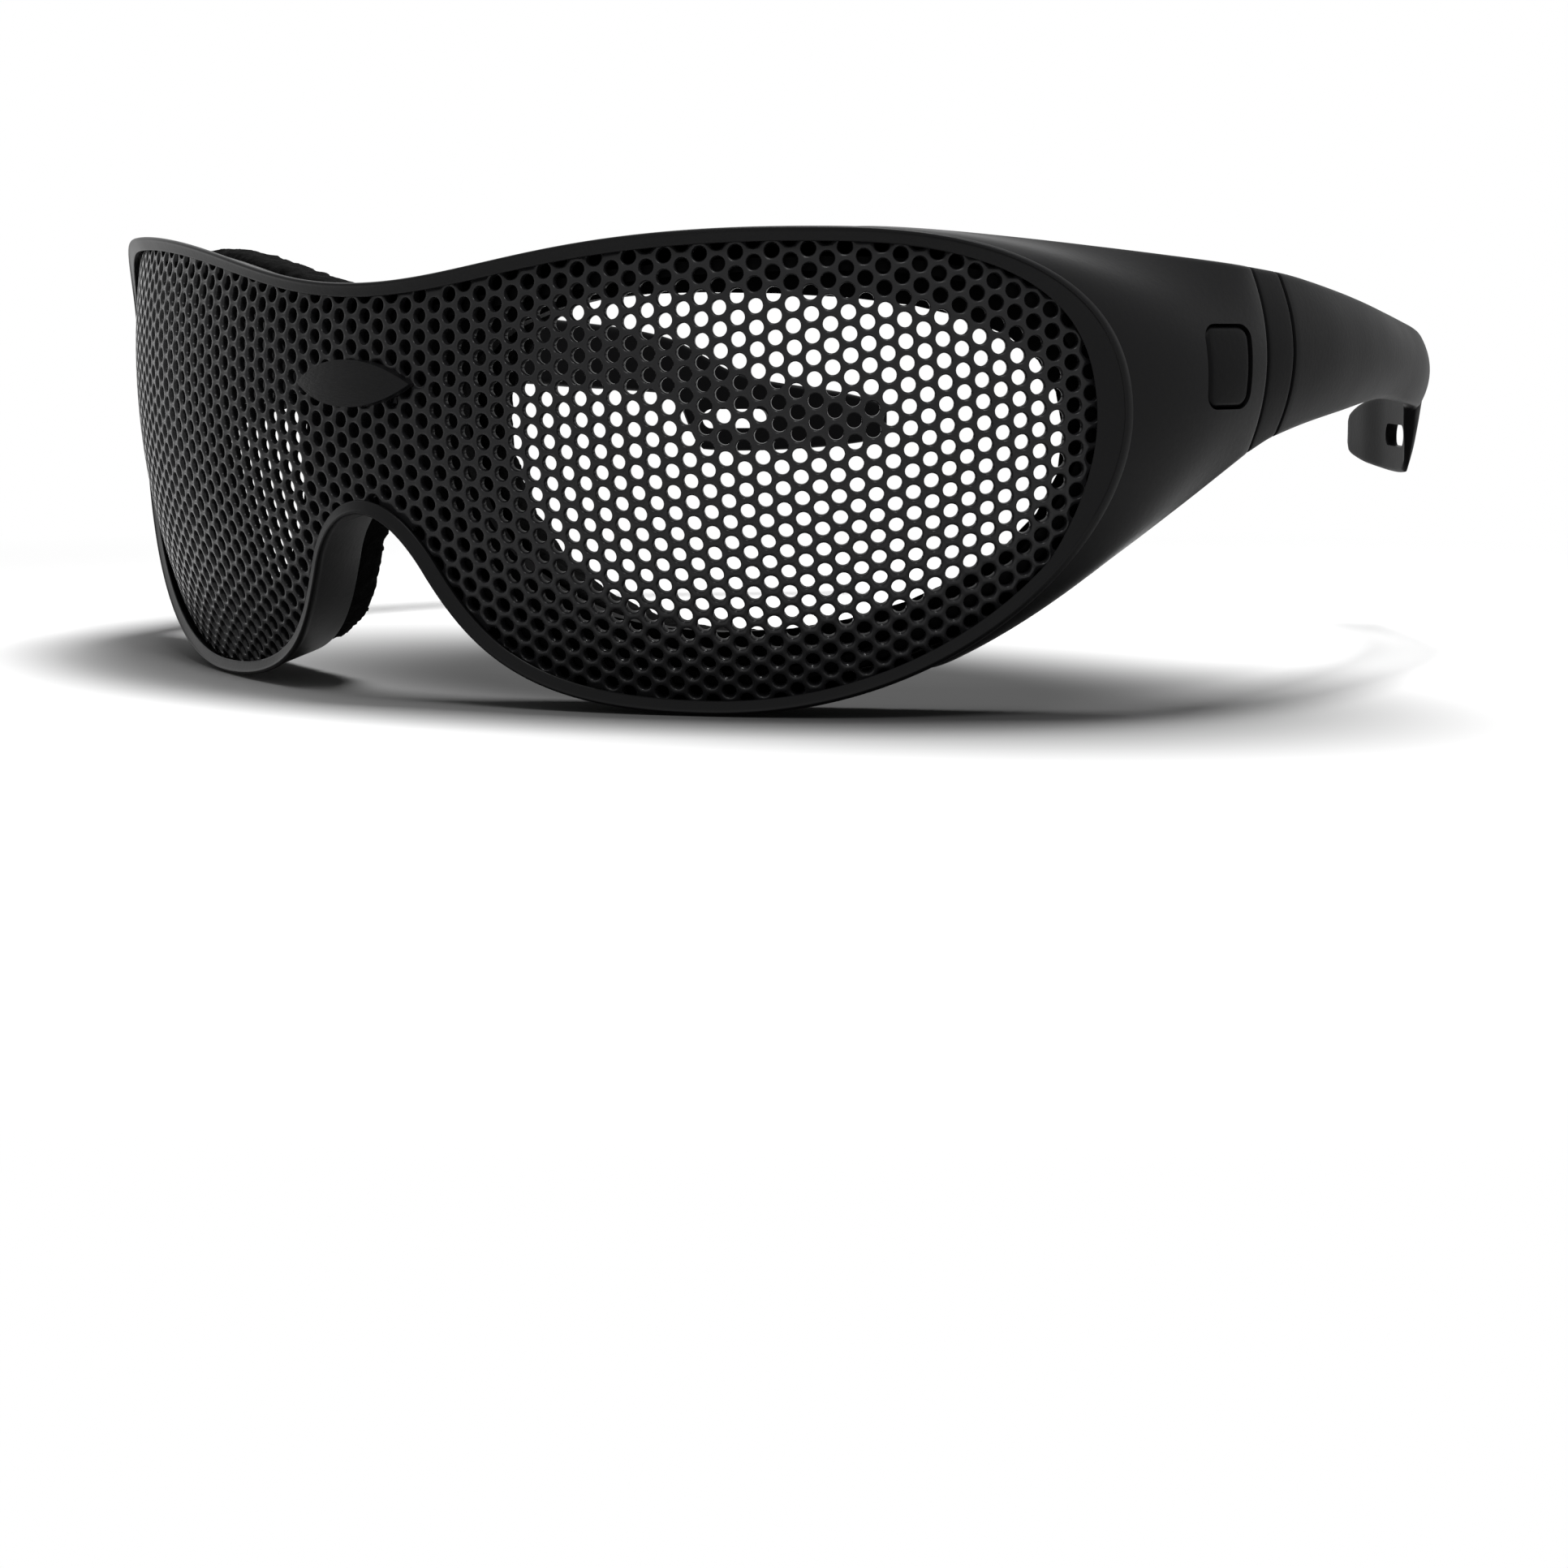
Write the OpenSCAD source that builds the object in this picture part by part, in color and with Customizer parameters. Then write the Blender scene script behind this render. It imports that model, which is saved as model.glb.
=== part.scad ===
// Wrap-round mesh goggles: a moulded front frame with a perforated steel screen, an inner
// frame with a foam face gasket, and two folding arms on clip-in hinge blocks.
// Millimetres, Z up, the front faces -Y. Sizes on the mask are read in front projection,
// and the screen, the beads and the inner frame all follow one sphere, the dome.

/* [Screen] */
// Angle from the middle of the dome to the mask's side, in degrees
wrap = 56.6; // [54:0.2:58]
// Thickness of the sheet
sheet_t = 1; // [0.6:0.1:1.2]
// Diameter of a hole
hole_d = 1.8; // [1.4:0.1:1.9]
// Distance between the holes of a column
hole_pitch = 2.5; // [2.4:0.1:4]
// Lean of the pattern's columns with the face, in degrees
lattice_tilt = 5.5; // [0:0.5:8]
// Distance of the pattern's middle column from the middle
lattice_x = -0.87; // [-1:0.01:1]
// Height of the pattern's middle row over the dome's axis
lattice_z = -0.67; // [-1.2:0.01:1.2]
// Flat facets across the sheet
sheet_strips = 24; // [16:2:36]
// Flat facets up the sheet
sheet_bands = 6; // [4:1:10]

/* [Mask outline] */
// Height of the mask from the cheeks to the brows
mask_h = 57.3; // [54:0.1:62]
// Width of the mask
mask_w = 167; // [160:1:174]
// Height of the dome's centre above the cheeks
dome_z = 41; // [36:0.5:44]
// How far the middle of the brow lies below its peaks
brow_dip = 6.4; // [2:0.1:9]
// Distance of a brow peak from the middle
brow_x = 56; // [46:1:62]
// Height of the widest place
side_z = 36.5; // [34:0.5:40]
// Distance of a cheek's lowest point from the middle
cheek_x = 41; // [36:1:48]
// Height of the nose notch
nose_h = 23.1; // [18:0.1:26]
// Half the width of the notch at its shoulder
nose_half_w = 8.8; // [7.6:0.1:10]
// Height from the shoulder to the top of the notch
nose_arch_h = 6.7; // [6:0.1:8]
// Slope of the notch's flanks
nose_slope = 62; // [55:1:70]

/* [Front frame] */
// Width of the bead above and below the screen
bead_w = 1.7; // [1.6:0.1:2.2]
// How much wider the bead is at the sides
bead_more = 1.3; // [0.6:0.1:1.6]
// How far the bead's crease stands out from the screen
bead_h = 1.6; // [1.2:0.1:2]
// How far the bead's inner edge stands out from the screen
bead_lip = 0.9; // [0.8:0.1:1.1]
// Thickness of the wall behind the bead
wall_t = 1.1; // [1:0.1:1.2]
// Depth of the wall behind the bead
wall_d = 8.5; // [8:0.5:12]
// How far the wall leans in at its rear edge
wall_lean = 2; // [1:0.1:2.4]
// Width of the relief in the wall over the nose
relief_w = 11.2; // [8:0.2:12]
// Depth of that relief from the wall's rear edge
relief_d = 3; // [2:0.1:5]
// Thickness of a wing
wing_t = 2.2; // [1.8:0.1:2.6]

/* [Inner frame and gasket] */
// Gap between the screen and the inner frame's web
web_gap = 2.3; // [2:0.1:3]
// Thickness of the inner frame
inner_t = 1.6; // [1.2:0.1:2]
// Distance of an eye opening's nose side from the middle
eye_in_x = 12.8; // [12:0.1:14]
// Distance of an eye opening's outer side from the mask's side
eye_side = 8; // [7.5:0.5:12]
// Height of an eye opening's lower side
eye_low_z = 9.8; // [9:0.1:12]
// Distance of an eye opening's upper side from the brow peaks
eye_drop = 7.5; // [7:0.1:11]
// Thickness of the foam gasket
foam_t = 5.5; // [4:0.5:8]

/* [Badge] */
// Length of the bare badge
badge_l = 18.7; // [16:0.1:22]
// Height of the badge
badge_h = 5.7; // [5:0.1:7]
// How far the badge stands out from the screen
badge_t = 2.1; // [1.6:0.1:2.6]

/* [Arms] */
// How far a side stands out from the mask's edge where the wing ends
side_out = 5.9; // [5:0.1:7]
// Height of a side's upper edge where the wing ends
side_top_z = 53.3; // [52:0.1:54]
// Height of the side where the wing ends
side_h = 22.9; // [22:0.1:24]
// How far the side's outer face is crowned
side_crown = 2.7; // [2:0.1:3.2]
// Thickness of the side where the arm begins
side_t = 6.4; // [6:0.1:7]
// Length of a wing behind the mask's widest place
wing_l = 18.7; // [18:0.1:20]
// Length of the hinge block's collar
collar_l = 7.2; // [6:0.1:8]
// How far in from the side an arm's bend lies
bend_in = 20.5; // [18:0.1:23]
// How far the bend lies behind the wing's end
bend_back = 83.6; // [78:0.1:88]
// Height of the arm's upper edge at the bend
bend_top_z = 43; // [42:0.1:44]
// Height of the arm's lower edge at the bend
bend_low_z = 33.8; // [33:0.1:35]
// Angle that the arm's end turns in
bend_angle = 40.7; // [34:0.1:46]
// Length of the arm behind the bend
curl_l = 35.9; // [30:0.1:42]
// Height of the upper edge of the arm's end
tip_top_z = 33; // [32:0.1:34]
// Height of the lowest edge of the arm's end
tip_low_z = 24.5; // [24:0.1:25.5]
// Thickness of the arm's end
tip_t = 2.8; // [2.4:0.1:3.4]
// Length of the cord slot
slot_l = 11.3; // [8:0.1:13]
// Height of the cord slot
slot_h = 3.2; // [2.4:0.1:4]
// Distance of the cord slot behind the bend
slot_edge = 4.4; // [4:0.1:6]

/* [Hinge and release button] */
// Diameter of the hinge pin
pin_d = 2; // [1.6:0.1:2.2]
// Radius of the knuckles
knuckle_r = 2.6; // [2.4:0.1:2.8]
// Height of the hinge over both ears
hinge_h = 14; // [12:0.5:15]
// Height of the arm's knuckle
knuckle_h = 6.2; // [5:0.1:7]
// Length of the release button along the side
button_w = 7.1; // [6.4:0.1:7.6]
// Height of the release button
button_h = 9.5; // [8.6:0.1:10]
// Travel of the release button
button_travel = 1.2; // [0.8:0.1:1.3]

/* [Clearances] */
// Parting gap between the wing, the collar and the arm
parting = 0.3; // [0.2:0.05:0.4]
// Gap between pieces that sit against each other
seat = 0.1; // [0.05:0.05:0.15]
// Gap between the moulded pieces and the formed sheet or the foam
fit = 0.3; // [0.25:0.05:0.4]
// Running clearance of the hinge, on the radius
run = 0.05; // [0.03:0.01:0.08]
// Gap round the release button
button_gap = 0.3; // [0.2:0.05:0.4]

/* [Hidden] */
// Stations along each of the five curves of half the outline
SEG = 9;
DEG = 180 / PI;
half_w = mask_w / 2;
dome_r = half_w / sin(wrap);
brow_mid_z = mask_h - brow_dip;
black = [0.07, 0.07, 0.075];

// Cubic curve through a and d with the handles b and c
function bez(a, b, c, d, t) =
    pow(1 - t, 3) * a + 3 * t * pow(1 - t, 2) * b + 3 * t * t * (1 - t) * c + t * t * t * d;
function curve(k, n, last = 0) = [for (i = [0:n - 1 + last]) bez(k[0], k[1], k[2], k[3], i / n)];
function unit(v) = v / norm(v);
function mix(a, b, t) = a + (b - a) * t;

// Half the outline, from the middle of the brow round the side to the top of the notch
nose_low = [nose_half_w, nose_h - nose_arch_h];
nose_dir = [-cos(nose_slope), sin(nose_slope)];
brow_curve = [[0, brow_mid_z], [0.32 * brow_x, brow_mid_z], [0.48 * brow_x, mask_h], [brow_x, mask_h]];
temple_curve = [[brow_x, mask_h], [mix(brow_x, half_w, 0.28), mask_h],
    [half_w, mix(side_z, mask_h, 1.02)], [half_w, side_z]];
cheek_curve = [[half_w, side_z], [half_w, 0.556 * side_z], [mix(cheek_x, half_w, 0.625), 0], [cheek_x, 0]];
flank_curve = [[cheek_x, 0], [mix(nose_half_w, cheek_x, 0.33), 0],
    nose_low - 0.48 * nose_h * nose_dir, nose_low];
arch_curve = [nose_low, nose_low + 0.17 * nose_h * nose_dir, [0.44 * nose_half_w, nose_h], [0, nose_h]];
half_outline = concat(curve(brow_curve, SEG), curve(temple_curve, SEG), curve(cheek_curve, SEG),
    curve(flank_curve, SEG), curve(arch_curve, SEG, 1));
outline = concat(half_outline,
    [for (i = [len(half_outline) - 2:-1:1]) [-half_outline[i][0], half_outline[i][1]]]);
STATIONS = len(outline);

// Points of a closed outline moved inwards by s
function inward(p, i) = let (n = len(p), d = unit(p[(i + 1) % n] - p[(i + n - 1) % n])) [d[1], -d[0]];
function inset(p, s) = [for (i = [0:len(p) - 1]) p[i] + s * inward(p, i)];

// Place on the dome, h outside its radius, for a point of the front projection
function on_dome(p, h, back = 0) =
    [p[0], back - sqrt(pow(dome_r + h, 2) - p[0] * p[0] - pow(p[1] - dome_z, 2)), p[1]];

// Faces of a grid of n rings with m points each, round rings, rows open or closed
function grid_faces(n, m, closed) = [for (i = [0:n - (closed ? 1 : 2)]) for (k = [0:m - 1])
    let (i2 = (i + 1) % n, k2 = (k + 1) % m, a = i * m + k, b = i * m + k2, c = i2 * m + k, d = i2 * m + k2)
    each [[a, d, b], [a, c, d]]];
function end_faces(n, m) = [for (k = [0:m / 2 - 2])
    let (a = k, b = k + 1, c = m - 2 - k, d = m - 1 - k, e = (n - 1) * m)
    each [[a, b, c], [a, c, d], [e + a, e + c, e + b], [e + a, e + d, e + c]]];

// How much of the extra width at the sides the bead has at a point, from 0 to 1
function side_share(p) = max(0, 1 - pow((p[1] - side_z - 1.5) / (0.35 * mask_h), 2))
    * min(1, max(0, (abs(p[0]) - 0.62 * half_w) / (0.19 * half_w)));
function bead_at(p) = bead_w + bead_more * side_share(p);

// Sections [inset, height over the dome, depth] swept round the whole outline; the inset
// grows with the bead where a fourth number is 1
module sweep_outline(section) {
    rings = [for (i = [0:STATIONS - 1]) for (q = section)
        on_dome(outline[i] + (q[0] + q[3] * bead_at(outline[i])) * inward(outline, i), q[1], q[2])];
    polyhedron(rings, grid_faces(STATIONS, len(section), true));
}

// Front projection of an outline as a prism along Y
module prism_y(points) {
    rotate([90, 0, 0]) linear_extrude(1.1 * dome_r) polygon(points);
}

module on_both_sides(side) {
    mirror([side < 0 ? 1 : 0, 0, 0]) children();
}

// Centre line of the right side, in plan: wing end, collar, arm, bend and tip
side_x = half_w + side_out;
wing_end_y = wing_l - sqrt(dome_r * dome_r - half_w * half_w);
side_start = [side_x, wing_end_y];
start_dir = [0, 1];
tip_dir = [-sin(bend_angle), cos(bend_angle)];
bend = [side_x - bend_in, wing_end_y + bend_back];
tip = bend + curl_l * tip_dir;
seam_y = wing_end_y + collar_l;
// Stations along the arm and behind the bend
ARM_N = 14;
TIP_N = 6;
function side_path(t) = bez(side_start, side_start + 0.36 * bend_back * start_dir,
    bend - 0.145 * bend_back * tip_dir, bend, t);
function side_heading(t) = unit(side_path(t + 0.01) - side_path(t - 0.01));
// Upper and lower edge of the side, thickness and crown, by the share of the length
side_low_z = side_top_z - side_h;
function top_z(f) = mix(side_top_z, bend_top_z, f);
function low_z(f) = mix(side_low_z, bend_low_z, f);
side_top = [[0, side_top_z], [0.1, top_z(0.07)], [0.3, top_z(0.28)], [0.6, top_z(0.62)],
    [0.8, top_z(0.78)], [1, bend_top_z], [1.3, mix(bend_top_z, tip_top_z, 0.54)], [1.95, tip_top_z],
    [2, tip_top_z - 1]];
side_low = [[0, side_low_z], [0.077, low_z(0.56)], [0.3, low_z(1.32)], [0.5, low_z(1.7)],
    [0.7, low_z(1.4)], [0.9, low_z(1.15)], [1, bend_low_z], [1.05, mix(bend_low_z, tip_low_z, 0.5)],
    [1.13, mix(bend_low_z, tip_low_z, 0.97)], [1.3, tip_low_z], [1.95, tip_low_z + 0.6 * tip_t],
    [2, tip_low_z + tip_t]];
side_thick = [[0, side_t], [0.3, side_t - 0.6], [0.6, mix(side_t, tip_t, 0.6)], [1, 1.2 * tip_t],
    [2, tip_t]];
side_bulge = [[0, side_crown], [0.3, side_crown], [1, side_crown / 2], [2, side_crown / 5]];
// Half the section, across the outer face: share of the half height, and of the crown
ACROSS = [1, 0.86, 0.6, 0.3, 0, -0.3, -0.6, -0.86, -1];
function side_frame(t) = t <= 1 ? [side_path(t), side_heading(t)] : [mix(bend, tip, t - 1), tip_dir];
function side_point(t, w, depth) = let (f = side_frame(t), n = [f[1][1], -f[1][0]],
    top = lookup(t, side_top), low = lookup(t, side_low), a = -lookup(t, side_bulge) * w * w - depth)
    [f[0][0] + a * n[0], f[0][1] + a * n[1], mix(low, top, (w + 1) / 2)];
function side_ring(t) = concat([for (w = ACROSS) side_point(t, w, 0)],
    [for (i = [len(ACROSS) - 1:-1:0]) let (w = ACROSS[i] * 0.93, c = lookup(t, side_bulge) * w * w)
        side_point(t, w, lookup(t, side_thick) - c)]);
module side_loft(ts) {
    m = 2 * len(ACROSS);
    n = len(ts);
    polyhedron([for (t = ts) each side_ring(t)], concat(grid_faces(n, m, false), end_faces(n, m)));
}

// The part's origin lies under the middle of its box
front_y = -(dome_r + badge_t);
back_y = max([for (p = side_ring(2)) p[1]]);
shift_y = -(front_y + back_y) / 2;
module placed() {
    translate([0, shift_y, 0]) children();
}

// Blocks that cut away everything ahead of a plane across Y, or behind it
far = 2 * mask_w;
module ahead_of(y) {
    translate([0, y - far, -far / 2]) cube([far, far, far]);
}
module behind(y) {
    translate([0, y, -far / 2]) cube([far, far, far]);
}

// Hinge: the pin's axis lies just inside the arm's outer shell
pin_x = side_x - 5.5;
pin_y = seam_y + 2.8;
side_mid_z = side_top_z - side_h / 2;
hinge_z = side_mid_z + 0.4;
// Radius of the crowned side, across it
side_r = side_h * side_h / (8 * side_crown);

// Wing: a smooth patch from the bead's crease back to the wing's end
WING_FROM = SEG + 1;
WING_TO = 2 * SEG + 6;
WING_N = 8;
wing_m = WING_TO - WING_FROM;
wing_pull = 1.18 * wing_l;
function wing_root(j) = let (p = outline[WING_FROM + j] + seat * inward(outline, WING_FROM + j))
    on_dome(p, bead_h - seat);
function wing_end(j) = side_point(0, 1 - 2 * j / wing_m, 0);
function wing_tangent(j) = let (w = 1 - 2 * j / wing_m)
    wing_pull * unit([0.5 * (1 - 0.5 * w * w), 1, w > 0 ? 0.15 * w : 0.08 * w]);
function wing_arrival(j) = let (w = 1 - 2 * j / wing_m)
    wing_pull * unit([0.08, 1, w > 0 ? -0.12 * w : -0.43 * w]);
function wing_pt(u, j) = let (a = wing_root(j), b = wing_end(j), u2 = u * u, u3 = u * u * u)
    (2 * u3 - 3 * u2 + 1) * a + (u3 - 2 * u2 + u) * wing_tangent(j) + (3 * u2 - 2 * u3) * b
    + (u3 - u2) * wing_arrival(j);
function wing_normal(u, j) = let (e = 0.02, u0 = max(0, u - e), u1 = min(1, u + e),
    j0 = max(0, j - 1), j1 = min(wing_m, j + 1))
    unit(cross(wing_pt(u, j1) - wing_pt(u, j0), wing_pt(u1, j) - wing_pt(u0, j)));
function wing_depth(u) = mix(0.7 * wall_t, wing_t, min(1, max(0, 3 * u - 0.4)));
module wing_shell() {
    ring = wing_m + 1;
    rows = [for (i = [0:WING_N]) let (u = i / WING_N) concat([for (j = [0:wing_m]) wing_pt(u, j)],
        [for (j = [wing_m:-1:0]) wing_pt(u, j) - wing_depth(u) * wing_normal(u, j)])];
    polyhedron([for (r = rows) each r],
        concat(grid_faces(WING_N + 1, 2 * ring, false), end_faces(WING_N + 1, 2 * ring)));
}

// Release button: the middle of its face lies on the wing, turned with it in plan
button_at = wing_pt(0.7, wing_m / 2);
button_y = button_at[1];
button_z = side_mid_z - 0.6;
button_run = wing_pt(0.85, wing_m / 2) - wing_pt(0.5, wing_m / 2);
button_turn = atan2(button_run[0], button_run[1]);
button_lip = 1;
flange_t = 1;
// Socket in the wing for the hinge block's tongue
tongue_x0 = pin_x - 4.2;
tongue_x1 = pin_x + 1.1;
tongue_h = button_h + 2.6;
tongue_z = button_z;
tongue_front = button_y - button_w / 2 - button_lip - 0.9;
socket_wall = 1.2;
flange_x = tongue_x1 - 0.2;

// Everything inside a crowned face that lies sink under the wing's, along the button's turn
module under_face(sink) {
    translate([button_at[0], button_at[1], side_mid_z]) rotate([0, 0, -button_turn])
    translate([-sink - side_r, 0, 0]) rotate([90, 0, 0])
    cylinder(r = side_r, h = 3 * wing_l, center = true, $fn = 120);
}

// Housing inside the wing's end, round the hinge block's tongue
module wing_socket() {
    x0 = tongue_x0 - seat - socket_wall;
    z0 = tongue_z - tongue_h / 2 - socket_wall;
    intersection() {
        translate([x0, tongue_front - socket_wall, z0])
        cube([side_x - x0 - 1.2, wing_end_y - tongue_front + socket_wall, tongue_h + 2 * socket_wall]);
        under_face(1.7);
    }
}

// Box with rounded corners along X, for the button and its window
module button_prism(grow, x0, x1) {
    w = button_w + 2 * grow;
    h = button_h + 2 * grow;
    r = 0.22 * button_w + grow;
    translate([x0, button_y, button_z]) rotate([90, 0, 90]) linear_extrude(x1 - x0)
    union() {
        square([w - 2 * r, h], center = true);
        square([w, h - 2 * r], center = true);
        for (i = [-1, 1]) for (j = [-1, 1])
        translate([i * (w / 2 - r), j * (h / 2 - r)]) circle(r = r, $fn = 32);
    }
}

module right_wing() {
    difference() {
        union() {
            wing_shell();
            wing_socket();
        }
        intersection() {
            translate([tongue_x0 - seat, tongue_front - seat, tongue_z - tongue_h / 2 - seat])
            cube([tongue_x1 - tongue_x0 + 2 * seat, 2 * wing_l, tongue_h + 2 * seat]);
            under_face(1.8);
        }
        button_prism(button_gap, tongue_x1 - 1, side_x + wing_t);
        behind(wing_end_y);
    }
}

// Bead with its crease, the wall behind it and the wings
module front_frame() {
    bead = [[0, bead_h, 0, 0], [0, bead_lip, 0, 1], [-0.2, fit, 0, 1]];
    wall = [[wall_t, fit, 0, 0], [wall_t, fit, 3 * sheet_t, 0], [wall_t + wall_lean, fit, wall_d, 0],
        [wall_lean, fit, wall_d, 0], [0.4, bead_h, 1.2, 0]];
    edge_y = on_dome([0, nose_h], fit, wall_d)[1];
    color(black) placed() union() {
        difference() {
            sweep_outline(concat(bead, wall));
            translate([-relief_w / 2, edge_y - relief_d, nose_h - 2 * wall_lean])
            cube([relief_w, 2 * relief_d, wall_t + 4 * wall_lean]);
        }
        right_wing();
        mirror([1, 0, 0]) right_wing();
    }
}

// Sheet metal on the dome, as flat facets, and its staggered holes
col_pitch = hole_pitch * sqrt(3) / 2;
sheet_line = inset(outline, wall_t + fit);
hole_line = inset(outline, wall_t + fit + hole_d / 2 + 0.35);
function crosses(a, b, p) = (a[1] > p[1]) != (b[1] > p[1])
    && p[0] < (b[0] - a[0]) * (p[1] - a[1]) / (b[1] - a[1]) + a[0];
function within(line, p) = let (n = len(line))
    len([for (i = [0:n - 1]) if (crosses(line[i], line[(i + 1) % n], p)) 1]) % 2 == 1;
module dome_facets() {
    low = asin(-dome_z / dome_r) - 2;
    high = asin((mask_h - dome_z) / dome_r) + 2;
    side = wrap + 3;
    m = sheet_strips + 1;
    rows = [for (r = [dome_r, dome_r - sheet_t]) for (j = [0:sheet_bands]) for (i = [0:sheet_strips])
        let (a = mix(-side, side, i / sheet_strips), b = mix(low, high, j / sheet_bands))
        [r * cos(b) * sin(a), -r * cos(b) * cos(a), dome_z + r * sin(b)]];
    q = m * (sheet_bands + 1);
    outer = [for (j = [0:sheet_bands - 1]) for (i = [0:sheet_strips - 1])
        [j * m + i, (j + 1) * m + i, (j + 1) * m + i + 1, j * m + i + 1]];
    rim = concat([for (i = [0:sheet_strips - 1]) [i, i + 1]],
        [for (j = [0:sheet_bands - 1]) [j * m + sheet_strips, (j + 1) * m + sheet_strips]],
        [for (i = [sheet_strips:-1:1]) [sheet_bands * m + i, sheet_bands * m + i - 1]],
        [for (j = [sheet_bands:-1:1]) [j * m, (j - 1) * m]]);
    polyhedron(rows, concat(outer, [for (f = outer) [q + f[3], q + f[2], q + f[1], q + f[0]]],
        [for (e = rim) [e[0], e[1], q + e[1], q + e[0]]]));
}
// Turns of a hole's axis about Z and X, by its column and row
function hole_a(c) = (c * col_pitch + lattice_x) / dome_r * DEG;
function hole_b(c, k) = ((k + (c % 2 == 0 ? 0 : 0.5)) * hole_pitch + lattice_z) / dome_r * DEG;
function hole_xz(c, k) = let (a = hole_a(c), b = hole_b(c, k), t = lattice_tilt)
    dome_r * [cos(b) * sin(a), sin(b) * cos(t) - cos(b) * cos(a) * sin(t)] + [0, dome_z];
// Places a cylinder on a hole's axis, its foot at the radius r
module on_hole(c, k, r) {
    translate([0, 0, dome_z]) rotate([lattice_tilt, 0, 0]) rotate([0, 0, hole_a(c)])
    rotate([90 - hole_b(c, k), 0, 0]) translate([0, 0, r]) children();
}
module mesh_screen() {
    columns = ceil(half_w / col_pitch * 1.3);
    rows = ceil(mask_h / hole_pitch);
    color([0.13, 0.13, 0.14]) placed() difference() {
        intersection() {
            dome_facets();
            prism_y(sheet_line);
        }
        for (c = [-columns:columns]) for (k = [-rows:rows])
        if (abs(hole_a(c)) < 80 && within(hole_line, hole_xz(c, k)))
        on_hole(c, k, dome_r - 2 * sheet_t) cylinder(d = hole_d, h = 3 * sheet_t, $fn = 16);
    }
}

// Outline of the right eye opening
eye_out_x = half_w - eye_side;
eye_top_z = mask_h - eye_drop;
eye_mid_x = mix(eye_in_x, eye_out_x, 0.46);
eye_mid_z = mix(eye_low_z, eye_top_z, 0.6);
function eye_line() = concat(
    curve([[eye_in_x, eye_mid_z], [eye_in_x, mix(eye_mid_z, eye_top_z, 0.7)],
        [mix(eye_in_x, eye_mid_x, 0.42), eye_top_z], [eye_mid_x, eye_top_z]], 8),
    curve([[eye_mid_x, eye_top_z], [mix(eye_mid_x, eye_out_x, 0.72), eye_top_z],
        [eye_out_x, mix(eye_mid_z, eye_top_z, 0.85)], [eye_out_x, eye_mid_z]], 8),
    curve([[eye_out_x, eye_mid_z], [eye_out_x, mix(eye_low_z, eye_mid_z, 0.42)],
        [mix(eye_mid_x, eye_out_x, 0.55), eye_low_z], [eye_mid_x, eye_low_z]], 8),
    curve([[eye_mid_x, eye_low_z], [mix(eye_in_x, eye_mid_x, 0.34), eye_low_z],
        [eye_in_x + 1.4, mix(eye_low_z, eye_mid_z, 0.38)], [eye_in_x, eye_mid_z]], 8));
module eye_prisms(grow) {
    for (s = [1, -1]) on_both_sides(s) prism_y(inset(eye_line(), -grow));
}

// Space inside an outline between two spheres, each with its own radius and depth
module dome_layer(line, front_r, front_d, back_r, back_d) {
    intersection() {
        prism_y(line);
        difference() {
            translate([0, front_d, dome_z]) sphere(r = front_r, $fn = 128);
            translate([0, back_d, dome_z]) sphere(r = back_r, $fn = 128);
        }
    }
}

// Room for the housing of the hinge block
module socket_room() {
    gap = seat + socket_wall + fit;
    for (s = [1, -1]) on_both_sides(s)
    translate([tongue_x0 - gap, tongue_front - gap, tongue_z - tongue_h / 2 - gap])
    cube([far, 2 * wing_l, tongue_h + 2 * gap]);
}

// Web with the eye openings, and a rim that clamps the screen and carries the foam
module inner_frame() {
    line = inset(outline, wall_t + wall_lean + fit);
    web_r = dome_r - sheet_t - web_gap;
    color(black) placed() difference() {
        union() {
            dome_layer(line, web_r, 0, web_r - inner_t, 0);
            difference() {
                dome_layer(line, dome_r - sheet_t - fit, 0, dome_r + fit, wall_d);
                prism_y(inset(line, inner_t));
            }
        }
        translate([0, wall_d, dome_z]) sphere(r = dome_r + fit, $fn = 128);
        eye_prisms(0);
        socket_room();
    }
}

// Foam behind the wall, open at the eyes
module face_gasket() {
    back = dome_r + fit;
    color([0.11, 0.11, 0.11]) placed() difference() {
        dome_layer(inset(outline, wall_lean + 1.6), back, wall_d + fit, back, wall_d + fit + foam_t);
        eye_prisms(0.8);
        socket_room();
    }
}

// Bare badge: a pointed oval with a domed face and two studs through holes of the screen
badge_row = 3;
badge_col = 2;
badge_z = hole_xz(0, badge_row)[1] + 0.7;
stud_d = hole_d - 0.3;
clip_t = 0.8;
module badge() {
    face_r = 1.7 * badge_l;
    side_r = (badge_l * badge_l + badge_h * badge_h) / (4 * badge_h);
    color(black) placed() union() {
        difference() {
            intersection() {
                intersection_for(s = [-1, 1])
                    translate([0, 2 * badge_t - dome_r, badge_z + s * (side_r - badge_h / 2)])
                    rotate([90, 0, 0]) cylinder(r = side_r, h = 4 * badge_t, $fn = 160);
                translate([0, -(dome_r + badge_t - face_r), badge_z]) sphere(r = face_r, $fn = 96);
            }
            translate([0, 0, dome_z]) sphere(r = dome_r + seat, $fn = 128);
        }
        for (s = [-1, 1]) stud(s);
    }
}
module stud(s) {
    on_hole(s * badge_col, badge_row, dome_r - sheet_t - clip_t - 0.6)
    cylinder(d = stud_d, h = sheet_t + clip_t + 1.3, $fn = 24);
}
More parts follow.
